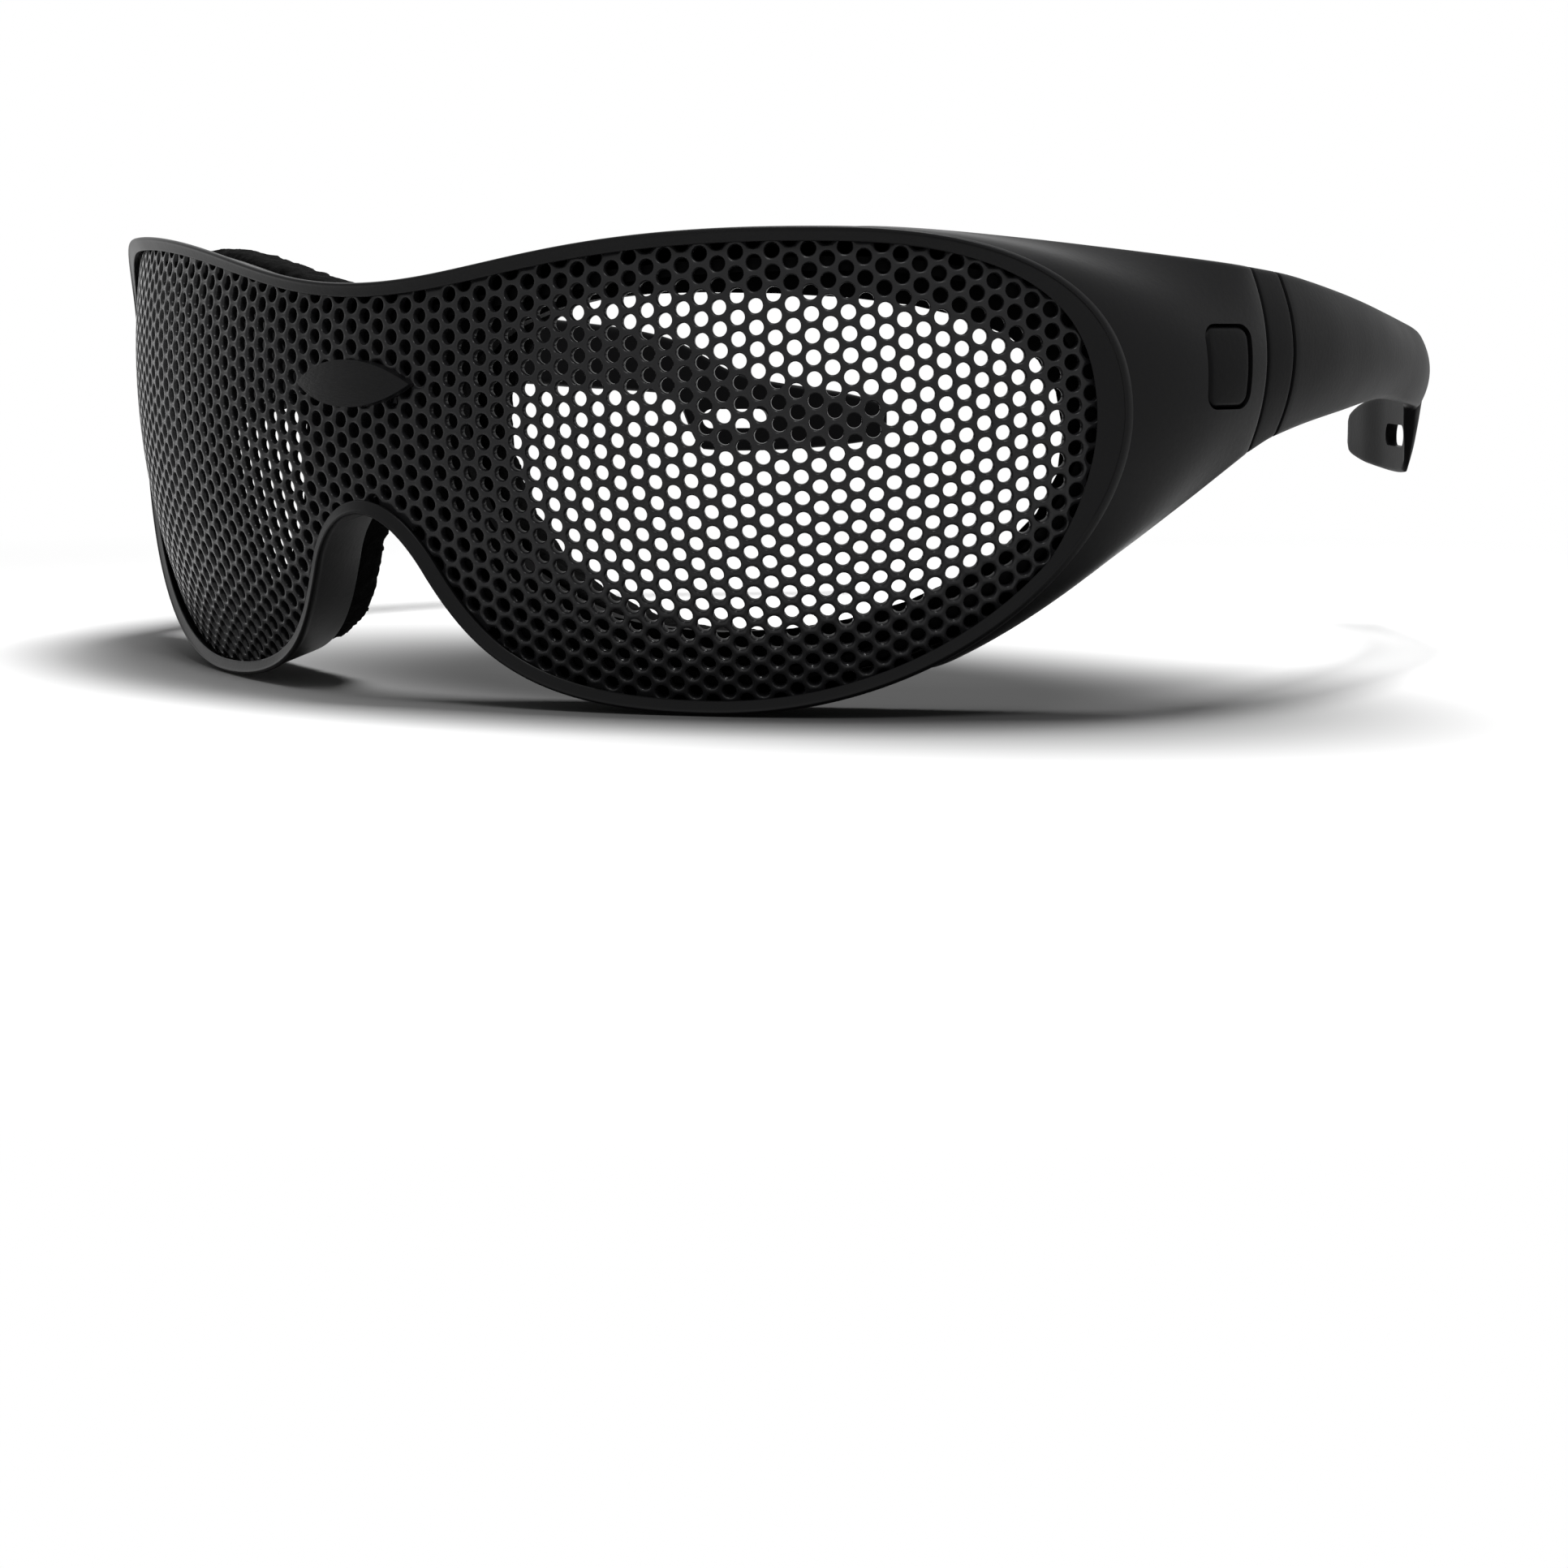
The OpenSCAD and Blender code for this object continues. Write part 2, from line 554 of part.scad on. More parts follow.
module badge_clip() {
    x0 = hole_xz(-badge_col, badge_row)[0];
    x1 = hole_xz(badge_col, badge_row)[0];
    back_r = dome_r - sheet_t - fit;
    over = stud_d * 0.6;
    color([0.5, 0.5, 0.52]) placed() difference() {
        intersection() {
            translate([x0 - 2 * over, -dome_r, hole_xz(0, badge_row)[1] - 2 * over + 0.1])
            cube([x1 - x0 + 4 * over, 3 * sheet_t + 3 * clip_t, 4 * over - 0.2]);
            translate([0, 0, dome_z]) sphere(r = back_r, $fn = 128);
        }
        translate([0, 0, dome_z]) sphere(r = back_r - clip_t, $fn = 128);
        for (s = [-1, 1]) on_hole(s * badge_col, badge_row, dome_r - 6 * sheet_t)
        cylinder(d = stud_d + 0.04, h = 6 * sheet_t, $fn = 24);
    }
}

ear_h = (hinge_h - knuckle_h) / 2 - parting;

// Arm, with its knuckle, room for the ears, and the cord slot
module arm(side) {
    seam = seam_y + parting / 2;
    slot_mid = 1 + (slot_edge + slot_l / 2) / curl_l;
    slot_at = side_point(slot_mid, 0, 0);
    slot_z = tip_low_z + 5.5;
    ear_room = knuckle_r + 0.5;
    color(black) placed() on_both_sides(side) difference() {
        union() {
            difference() {
                side_loft(concat([for (i = [0.6:ARM_N]) i / ARM_N], [1.05, 1.11],
                    [for (i = [1:TIP_N - 1]) 1 + i / TIP_N], [1.95, 2]));
                ahead_of(seam);
                translate([pin_x, pin_y, hinge_z - hinge_h / 2 - 0.4])
                cylinder(r = ear_room, h = hinge_h + 0.8, $fn = 48);
                translate([pin_x - side_t, pin_y - collar_l, hinge_z - hinge_h / 2 - 0.4])
                cube([side_t, collar_l + ear_room, hinge_h + 0.8]);
                translate([pin_x - side_t, pin_y - collar_l, 0]) cube([side_t, collar_l, mask_h]);
            }
            translate([pin_x, pin_y, hinge_z - knuckle_h / 2]) union() {
                cylinder(r = knuckle_r, h = knuckle_h, $fn = 48);
                cube([knuckle_r + 1.4, knuckle_r + 1.4, knuckle_h]);
            }
        }
        translate([pin_x, pin_y, hinge_z - knuckle_h])
        cylinder(d = pin_d + 2 * run, h = 2 * knuckle_h, $fn = 32);
        translate([slot_at[0], slot_at[1], slot_z]) rotate([0, 0, bend_angle]) union() {
            for (i = [-1, 1]) translate([0, i * (slot_l - slot_h) / 2, 0]) rotate([0, 90, 0])
            cylinder(d = slot_h, h = 6 * tip_t, center = true, $fn = 32);
            cube([6 * tip_t, slot_l - slot_h, slot_h], center = true);
        }
    }
}

// Hinge block: tongue in the wing's socket, collar between wing and arm, two ears
module hinge_block(side) {
    room = flange_t + button_travel + 0.2;
    color(black) placed() on_both_sides(side) difference() {
        union() {
            intersection() {
                translate([tongue_x0, tongue_front, tongue_z - tongue_h / 2])
                cube([tongue_x1 - tongue_x0, wing_end_y - tongue_front + collar_l / 2, tongue_h]);
                under_face(1.8 + seat);
            }
            difference() {
                side_loft([-0.01, 0.04, 0.077, 0.12]);
                ahead_of(wing_end_y + seat);
                behind(seam_y - parting / 2);
            }
            for (z = [hinge_z - hinge_h / 2, hinge_z + hinge_h / 2 - ear_h]) {
                translate([pin_x, pin_y, z]) cylinder(r = knuckle_r, h = ear_h, $fn = 48);
                translate([pin_x - knuckle_r, seam_y - collar_l / 4, z])
                cube([knuckle_r, pin_y - seam_y + collar_l / 4, ear_h]);
            }
        }
        translate([pin_x, pin_y, hinge_z - hinge_h]) cylinder(d = pin_d, h = 2 * hinge_h, $fn = 32);
        translate([flange_x - room, button_y - button_w / 2 - button_lip - 0.4,
            button_z - button_h / 2 - 0.4])
        cube([side_t, button_w + 2 * button_lip + 0.8, button_h + 0.8]);
        translate([tongue_x0 + 1, button_y - 4, button_z - 2.4]) cube([side_t, 8, 4.8]);
    }
}

module hinge_pin(side) {
    color([0.6, 0.6, 0.62]) placed() on_both_sides(side)
    translate([pin_x, pin_y, hinge_z - hinge_h / 2]) cylinder(d = pin_d, h = hinge_h, $fn = 32);
}

// Release button: crowned face flush with the wing, and a flange behind the window
module release_button(side) {
    color(black) placed() on_both_sides(side) union() {
        intersection() {
            button_prism(0, flange_x - flange_t / 2, side_x + wing_t);
            under_face(seat);
        }
        translate([flange_x - flange_t, button_y - button_w / 2 - button_lip, button_z - button_h / 2])
        cube([flange_t, button_w + 2 * button_lip, button_h]);
    }
}

// Leaf spring behind the button
module button_spring(side) {
    x0 = tongue_x0 + 1.05;
    x1 = flange_x - flange_t - 0.05;
    t = 0.25;
    foot = 3.4;
    color([0.7, 0.7, 0.72]) placed() on_both_sides(side)
    translate([0, button_y, button_z - 2]) linear_extrude(4)
    polygon([[x0, -foot], [x1, -0.6], [x1, 0.6], [x0, foot], [x0, foot - 1.2], [x1 - t, 0.2], [x1 - t, -0.2],
        [x0, 1.2 - foot]]);
}

front_frame();
mesh_screen();
inner_frame();
face_gasket();
badge();
badge_clip();
arm(-1);  // arm_left
arm(1);  // arm_right
hinge_block(-1);  // hinge_block_left
hinge_block(1);  // hinge_block_right
hinge_pin(-1);  // hinge_pin_left
hinge_pin(1);  // hinge_pin_right
release_button(-1);  // release_button_left
release_button(1);  // release_button_right
button_spring(-1);  // button_spring_left
button_spring(1);  // button_spring_right
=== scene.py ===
import bmesh
import bpy
import math
import numpy as np
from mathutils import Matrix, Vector, noise


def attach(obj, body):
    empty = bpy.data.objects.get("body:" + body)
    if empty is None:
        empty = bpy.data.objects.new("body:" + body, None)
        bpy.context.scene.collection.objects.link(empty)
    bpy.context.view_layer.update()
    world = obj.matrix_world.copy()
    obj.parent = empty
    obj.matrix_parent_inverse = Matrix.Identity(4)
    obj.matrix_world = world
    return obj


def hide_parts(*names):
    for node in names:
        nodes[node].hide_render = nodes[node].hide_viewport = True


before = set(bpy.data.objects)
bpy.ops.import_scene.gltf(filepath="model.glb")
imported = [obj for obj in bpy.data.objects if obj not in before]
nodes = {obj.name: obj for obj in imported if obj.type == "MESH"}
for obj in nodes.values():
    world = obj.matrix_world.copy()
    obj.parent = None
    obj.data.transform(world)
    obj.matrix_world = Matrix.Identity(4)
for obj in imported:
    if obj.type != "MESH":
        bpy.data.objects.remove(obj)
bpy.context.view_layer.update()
MM = 0.001
# How far the dome's centre lies behind the frame's origin
SHIFT_Y = 13.8297

# Sizes repeated from the part, in millimetres
DOME_R, DOME_Z, SHEET_T = 100.0180, 41.0, 1.0
MASK_H, MASK_W, BROW_DIP, BROW_X, SIDE_Z = 57.3, 167.0, 6.4, 56.0, 36.5
CHEEK_X, NOSE_H, NOSE_HALF, NOSE_ARCH, NOSE_SLOPE = 41.0, 23.1, 8.8, 6.7, math.radians(62)
WALL_T, FIT = 1.1, 0.3
HOLE_D, PITCH, TILT, LAT_U, LAT_V = 1.8, 2.5, math.radians(5.5), -0.87, -0.67
SEG = 24


def mix(a, b, t):
    return a + (b - a) * t


def bez(k, n, last=0):
    t = (np.arange(n + last) / n)[:, None]
    a, b, c, d = [np.array(p, float) for p in k]
    return (1 - t) ** 3 * a + 3 * t * (1 - t) ** 2 * b + 3 * t * t * (1 - t) * c + t ** 3 * d


def make_outline(seg):
    hw = MASK_W / 2
    mid = MASK_H - BROW_DIP
    low = np.array([NOSE_HALF, NOSE_H - NOSE_ARCH])
    d = np.array([-math.cos(NOSE_SLOPE), math.sin(NOSE_SLOPE)])
    curves = [
        [(0, mid), (0.32 * BROW_X, mid), (0.48 * BROW_X, MASK_H), (BROW_X, MASK_H)],
        [(BROW_X, MASK_H), (mix(BROW_X, hw, 0.28), MASK_H), (hw, mix(SIDE_Z, MASK_H, 1.02)), (hw, SIDE_Z)],
        [(hw, SIDE_Z), (hw, 0.556 * SIDE_Z), (mix(CHEEK_X, hw, 0.625), 0), (CHEEK_X, 0)],
        [(CHEEK_X, 0), (mix(NOSE_HALF, CHEEK_X, 0.33), 0), low - 0.48 * NOSE_H * d, low],
        [low, low + 0.17 * NOSE_H * d, (0.44 * NOSE_HALF, NOSE_H), (0, NOSE_H)],
    ]
    half = np.concatenate([bez(k, seg, 1 if i == 4 else 0) for i, k in enumerate(curves)])
    other = half[-2:0:-1] * [-1, 1]
    return np.concatenate([half, other])


OUTLINE = make_outline(SEG)


def inward(p):
    d = np.roll(p, -1, 0) - np.roll(p, 1, 0)
    d /= np.linalg.norm(d, axis=1)[:, None]
    return np.stack([d[:, 1], -d[:, 0]], 1)


def inset(p, s):
    return p + s * inward(p)


def inside(line, q):
    """Which points q lie inside the closed line."""
    x, z = q[:, 0][:, None], q[:, 1][:, None]
    a, b = line, np.roll(line, -1, 0)
    up = (a[None, :, 1] > z) != (b[None, :, 1] > z)
    rise = np.where(b[:, 1] == a[:, 1], 1e-9, b[:, 1] - a[:, 1])
    at = (b[:, 0] - a[:, 0])[None] * (z - a[None, :, 1]) / rise[None] + a[None, :, 0]
    return (up & (x < at)).sum(1) % 2 == 1


def nearest(line, q):
    """The closest point of the closed line to each point of q."""
    a, b = line, np.roll(line, -1, 0)
    e = b - a
    t = ((q[:, None] - a[None]) * e[None]).sum(2) / (e * e).sum(1)[None]
    p = a[None] + np.clip(t, 0, 1)[..., None] * e[None]
    d = np.linalg.norm(p - q[:, None], axis=2)
    i = d.argmin(1)
    return p[np.arange(len(q)), i], d[np.arange(len(q)), i]


# Sizes of the wings, sides and arms, repeated from the part
HALF_W = MASK_W / 2
BEAD_H, WALL_D, WALL_LEAN, WING_T, WING_L = 1.6, 8.5, 2.0, 2.2, 18.7
SIDE_X, SIDE_TOP, SIDE_H, SIDE_CROWN, SIDE_T = HALF_W + 5.9, 53.3, 22.9, 2.7, 6.4
WING_END = WING_L - math.sqrt(DOME_R ** 2 - HALF_W ** 2)
SEAM_Y = WING_END + 7.2
BEND_ANGLE, BEND_TOP, BEND_LOW, BEND_BACK, CURL = math.radians(40.7), 43.0, 33.8, 83.6, 35.9
TIP_TOP, TIP_LOW, TIP_T = 33.0, 24.5, 2.8
SIDE_LOW, SIDE_MID = SIDE_TOP - SIDE_H, SIDE_TOP - SIDE_H / 2
PIN_X, PIN_Y, HINGE_Z = SIDE_X - 5.5, SEAM_Y + 2.8, SIDE_MID + 0.4
TIP_DIR = np.array([-math.sin(BEND_ANGLE), math.cos(BEND_ANGLE)])
BEND = np.array([SIDE_X - 20.5, WING_END + BEND_BACK])
BUTTON_W, BUTTON_H = 7.1, 9.5
# The cord slot: its length, width, distance behind the bend and height over the tip's lower edge
SLOT_L, SLOT_W, SLOT_EDGE, SLOT_UP = 11.3, 3.2, 4.4, 5.5
# The hinge: radii of its ears, of the room round them and of the pin's hole, and heights
EAR_R, EAR_ROOM, HOLE_R, KNUCKLE_H, HINGE_H = 2.6, 3.1, 1.05, 6.2, 14.0
# The bead's width above and below the screen, and how much wider it is at the sides
BEAD_W, BEAD_MORE = 1.7, 1.3
# Half the parting gap at each face, and the turn up to which an edge is shaded smooth, in degrees
GAP, SHARP = 0.15, 42


def unit(v):
    return v / np.linalg.norm(v, axis=-1, keepdims=True)


def smooth_table(table, t):
    """A smooth curve through the points of a table, without overshoot."""
    x, y = np.array(table, float).T
    h, d = np.diff(x), np.diff(y) / np.diff(x)
    m = np.zeros(len(x))
    for i in range(1, len(x) - 1):
        if d[i - 1] * d[i] > 0:
            a, b = 2 * h[i] + h[i - 1], h[i] + 2 * h[i - 1]
            m[i] = (a + b) / (a / d[i - 1] + b / d[i])
    m[0], m[-1] = d[0], d[-1]
    i = int(np.clip(np.searchsorted(x, t) - 1, 0, len(h) - 1))
    u = (t - x[i]) / h[i]
    return ((2 * u ** 3 - 3 * u ** 2 + 1) * y[i] + (u ** 3 - 2 * u ** 2 + u) * h[i] * m[i]
            + (3 * u ** 2 - 2 * u ** 3) * y[i + 1] + (u ** 3 - u ** 2) * h[i] * m[i + 1])


def top_z(f):
    return mix(SIDE_TOP, BEND_TOP, f)


def low_z(f):
    return mix(SIDE_LOW, BEND_LOW, f)


TOPS = [[0, SIDE_TOP], [0.1, top_z(0.07)], [0.3, top_z(0.28)], [0.6, top_z(0.62)], [0.8, top_z(0.78)],
        [1, BEND_TOP], [1.3, mix(BEND_TOP, TIP_TOP, 0.54)], [1.95, TIP_TOP], [2, TIP_TOP - 1]]
LOWS = [[0, SIDE_LOW], [0.077, low_z(0.56)], [0.3, low_z(1.32)], [0.5, low_z(1.7)], [0.7, low_z(1.4)],
        [0.9, low_z(1.15)], [1, BEND_LOW], [1.05, mix(BEND_LOW, TIP_LOW, 0.5)],
        [1.13, mix(BEND_LOW, TIP_LOW, 0.97)], [1.3, TIP_LOW], [1.95, TIP_LOW + 0.6 * TIP_T],
        [2, TIP_LOW + TIP_T]]
THICKS = [[0, SIDE_T], [0.3, SIDE_T - 0.6], [0.6, mix(SIDE_T, TIP_T, 0.6)], [1, 1.1 * TIP_T],
          [1.1, 1.9], [1.45, 1.7], [1.75, 2.6], [2, TIP_T]]
BULGES = [[0, SIDE_CROWN], [0.3, SIDE_CROWN], [1, SIDE_CROWN / 2], [2, SIDE_CROWN / 5]]


def side_frame(t):
    if t > 1:
        return mix(BEND, BEND + CURL * TIP_DIR, t - 1), TIP_DIR
    a = np.array([SIDE_X, WING_END])
    k = [a, a + [0, 0.36 * BEND_BACK], BEND - 0.145 * BEND_BACK * TIP_DIR, BEND]

    def at(u):
        return ((1 - u) ** 3 * k[0] + 3 * u * (1 - u) ** 2 * k[1] + 3 * u * u * (1 - u) * k[2]
                + u ** 3 * k[3])

    return at(t), unit(at(t + 0.01) - at(t - 0.01))


def side_point(t, w, depth):
    p, d = side_frame(t)
    a = -smooth_table(BULGES, t) * w * w - depth
    return np.array([p[0] + a * d[1], p[1] - a * d[0],
                     mix(smooth_table(LOWS, t), smooth_table(TOPS, t), (w + 1) / 2)])


def resample(line, start, stop, n):
    """n points along a line, from start past its beginning to stop before its end."""
    at = np.concatenate([[0], np.cumsum(np.linalg.norm(np.diff(line, axis=0), axis=1))])
    s = np.linspace(start, at[-1] - stop, n)
    return np.stack([np.interp(s, at, line[:, i]) for i in range(3)], 1)


def rounded(runs, d, counts, nc=5):
    """A closed loop of lines that meet in corners, each rounded off over the distance d."""
    parts = [resample(r, d, d, n) for r, n in zip(runs, counts)]
    loop = []
    for i, p in enumerate(parts):
        a, c, b = p[-1], runs[i][-1], parts[(i + 1) % len(parts)][0]
        t = (np.arange(1, nc) / nc)[:, None]
        loop += [p, (1 - t) ** 2 * a + 2 * t * (1 - t) * c + t * t * b]
    return np.concatenate(loop)


def shrunk(loop, axis, r):
    """A closed loop moved in by r, across the axis that it is wound round."""
    tangent = unit(np.roll(loop, -1, 0) - np.roll(loop, 1, 0))
    inner = unit(np.cross(np.array(axis, float), tangent))
    if ((loop.mean(0) - loop) * inner).sum() < 0:
        inner = -inner
    return loop + r * inner


def side_loop(t, round_off):
    """The side's section at t: crowned outside, flat inside, corners rounded."""
    w = np.linspace(1, -1, 25)
    face = np.array([side_point(t, v, 0) for v in w])
    thick, bulge = smooth_table(THICKS, t), smooth_table(BULGES, t)
    back = np.array([side_point(t, v, thick - bulge * v * v) for v in w[::-1] * 0.93])
    runs = [face, np.array([face[-1], back[0]]), back, np.array([back[-1], face[0]])]
    d = min(round_off, 0.42 * np.linalg.norm(face[-1] - back[0]))
    return rounded(runs, d, (33, 3, 15, 3))


def new_mesh(name, verts, faces, smooth=True):
    me = bpy.data.meshes.new(name)
    me.from_pydata([tuple(v) for v in verts], [], [tuple(f) for f in faces])
    me.validate()
    me.update()
    if smooth:
        me.polygons.foreach_set("use_smooth", [True] * len(me.polygons))
    o = bpy.data.objects.new(name, me)
    bpy.context.scene.collection.objects.link(o)
    return o


def loft(name, loops):
    """A closed skin through loops of equally many points, in millimetres from the dome's centre."""
    n, m = len(loops), len(loops[0])
    v = (np.concatenate(loops) + [0, SHIFT_Y, 0]) * MM
    faces = [(i * m + k, i * m + (k + 1) % m, (i + 1) * m + (k + 1) % m, (i + 1) * m + k)
             for i in range(n - 1) for k in range(m)]
    faces += [tuple(range(m - 1, -1, -1)), tuple((n - 1) * m + k for k in range(m))]
    o = new_mesh(name, v, faces)
    tidy_normals(o)
    return o


def tidy_normals(o):
    bm = bmesh.new()
    bm.from_mesh(o.data)
    bmesh.ops.recalc_face_normals(bm, faces=bm.faces)
    bm.to_mesh(o.data)
    bm.free()
    o.data.polygons.foreach_set("use_smooth", [True] * len(o.data.polygons))


def settle(o):
    """Replaces an object's mesh by what its modifiers make of it."""
    bpy.context.view_layer.update()
    me = bpy.data.meshes.new_from_object(o.evaluated_get(bpy.context.evaluated_depsgraph_get()))
    o.modifiers.clear()
    o.data = me
    me.polygons.foreach_set("use_smooth", [True] * len(me.polygons))


def split_edges(o, angle):
    e = o.modifiers.new("split", "EDGE_SPLIT")
    e.split_angle = math.radians(angle)


def cut(o, tools, how="DIFFERENCE"):
    for t in tools:
        m = o.modifiers.new("cut", "BOOLEAN")
        m.operation, m.solver, m.object = how, "EXACT", t
    settle(o)
    for t in tools:
        bpy.data.objects.remove(t)


def joined(name, parts):
    bm = bmesh.new()
    for p in parts:
        bm.from_mesh(p.data)
        bpy.data.objects.remove(p)
    me = bpy.data.meshes.new(name)
    bm.to_mesh(me)
    bm.free()
    me.polygons.foreach_set("use_smooth", [True] * len(me.polygons))
    o = bpy.data.objects.new(name, me)
    bpy.context.scene.collection.objects.link(o)
    return o


def mirrored(name, o):
    me = o.data.copy()
    c = np.zeros(len(me.vertices) * 3)
    me.vertices.foreach_get("co", c)
    c[0::3] *= -1
    me.vertices.foreach_set("co", c)
    me.flip_normals()
    p = bpy.data.objects.new(name, me)
    bpy.context.scene.collection.objects.link(p)
    return p


def block(name, low, high, bevel=0.0):
    """A box between two corners in millimetres from the dome's centre, with bevelled edges."""
    bm = bmesh.new()
    bmesh.ops.create_cube(bm, size=1.0)
    lo, hi = np.array(low, float), np.array(high, float)
    for v in bm.verts:
        p = (lo + hi) / 2 + np.array(v.co) * (hi - lo) + [0, SHIFT_Y, 0]
        v.co = p * MM
    if bevel:
        bmesh.ops.bevel(bm, geom=bm.edges[:], offset=bevel * MM, segments=3, affect="EDGES", profile=0.5)
    me = bpy.data.meshes.new(name)
    bm.to_mesh(me)
    bm.free()
    o = bpy.data.objects.new(name, me)
    bpy.context.scene.collection.objects.link(o)
    return o


def rod(name, x, y, z0, z1, r, n=64):
    a = 2 * math.pi * np.arange(n) / n
    ring = np.stack([x + r * np.cos(a), y + r * np.sin(a), np.zeros(n)], 1)
    return loft(name, [ring + [0, 0, z0], ring + [0, 0, z1]])


def material(name, base, rough, noise_scale=0.0, bump=0.0, spec=0.5, metallic=0.0, tint=0.12, detail=6.0,
             brush=1.0):
    """A matte or satin finish, with a little variation of tone and roughness and a fine relief."""
    m = bpy.data.materials.new(name)
    m.use_nodes = True
    nt = m.node_tree
    b = nt.nodes["Principled BSDF"]
    b.inputs["Metallic"].default_value = metallic
    b.inputs["Specular IOR Level"].default_value = spec
    co = nt.nodes.new("ShaderNodeTexCoord")
    soft = nt.nodes.new("ShaderNodeTexNoise")
    soft.inputs["Scale"].default_value = 45.0
    soft.inputs["Detail"].default_value = 4.0
    grain = nt.nodes.new("ShaderNodeMapping")
    grain.inputs["Scale"].default_value = (1.0, brush, brush)
    nt.links.new(co.outputs["Object"], grain.inputs["Vector"])
    nt.links.new(grain.outputs["Vector"], soft.inputs["Vector"])
    ramp = nt.nodes.new("ShaderNodeMapRange")
    ramp.inputs["From Min"].default_value = 0.3
    ramp.inputs["From Max"].default_value = 0.7
    ramp.inputs["To Min"].default_value = rough - 0.04
    ramp.inputs["To Max"].default_value = rough + 0.05
    nt.links.new(soft.outputs["Fac"], ramp.inputs["Value"])
    nt.links.new(ramp.outputs["Result"], b.inputs["Roughness"])
    tone = nt.nodes.new("ShaderNodeMix")
    tone.data_type = "RGBA"
    lo = [c * (1 - tint) for c in base]
    hi = [c * (1 + tint) for c in base]
    tone.inputs[6].default_value = (*lo, 1)
    tone.inputs[7].default_value = (*hi, 1)
    nt.links.new(soft.outputs["Fac"], tone.inputs[0])
    nt.links.new(tone.outputs[2], b.inputs["Base Color"])
    if bump:
        fine = nt.nodes.new("ShaderNodeTexNoise")
        fine.inputs["Scale"].default_value = noise_scale
        fine.inputs["Detail"].default_value = detail
        nt.links.new(grain.outputs["Vector"], fine.inputs["Vector"])
        bm = nt.nodes.new("ShaderNodeBump")
        bm.inputs["Strength"].default_value = 1.0
        bm.inputs["Distance"].default_value = bump
        nt.links.new(fine.outputs["Fac"], bm.inputs["Height"])
        nt.links.new(bm.outputs["Normal"], b.inputs["Normal"])
    return m


MATS = {
    "frame": material("frame_plastic", (0.0050, 0.0050, 0.0054), 0.34, 1500, 0.00002, spec=0.12),
    "inner": material("inner_plastic", (0.0030, 0.0030, 0.0033), 0.50, 1400, 0.00003, spec=0.03),
    "block": material("block_plastic", (0.0045, 0.0045, 0.0048), 0.45, 1500, 0.00002, spec=0.022),
    "arm": material("arm_plastic", (0.0040, 0.0040, 0.0043), 0.42, 1500, 0.00002, spec=0.028),
    "button": material("button_plastic", (0.0040, 0.0040, 0.0043), 0.36, 1500, 0.00002, spec=0.06),
    "badge": material("badge_plastic", (0.006, 0.006, 0.0064), 0.36, 700, 0.00008, spec=0.12, tint=0.7,
                      brush=9.0),
    "screen": material("screen_paint", (0.022, 0.022, 0.0235), 0.22, 900, 0.00001, spec=0.18),
    "foam": material("gasket_foam", (0.0055, 0.0055, 0.0055), 0.95, 900, 0.0005, spec=0.03, detail=8.0),
    "steel": material("pin_steel", (0.45, 0.45, 0.46), 0.3, 900, 0.00001, metallic=1.0, tint=0.05),
}


def paint(o, key):
    o.data.materials.clear()
    o.data.materials.append(MATS[key])


def soften(o, angle):
    """Welds the imported solid's corners and shades it smooth up to that angle."""
    with bpy.context.temp_override(object=o, active_object=o, selected_objects=[o]):
        bpy.ops.mesh.customdata_custom_splitnormals_clear()
    o.data.polygons.foreach_set("use_smooth", [True] * len(o.data.polygons))
    w = o.modifiers.new("weld", "WELD")
    w.merge_threshold = 0.000004
    split_edges(o, angle)


# The width of the rounded rim around each hole of the screen
ROLL = 0.15


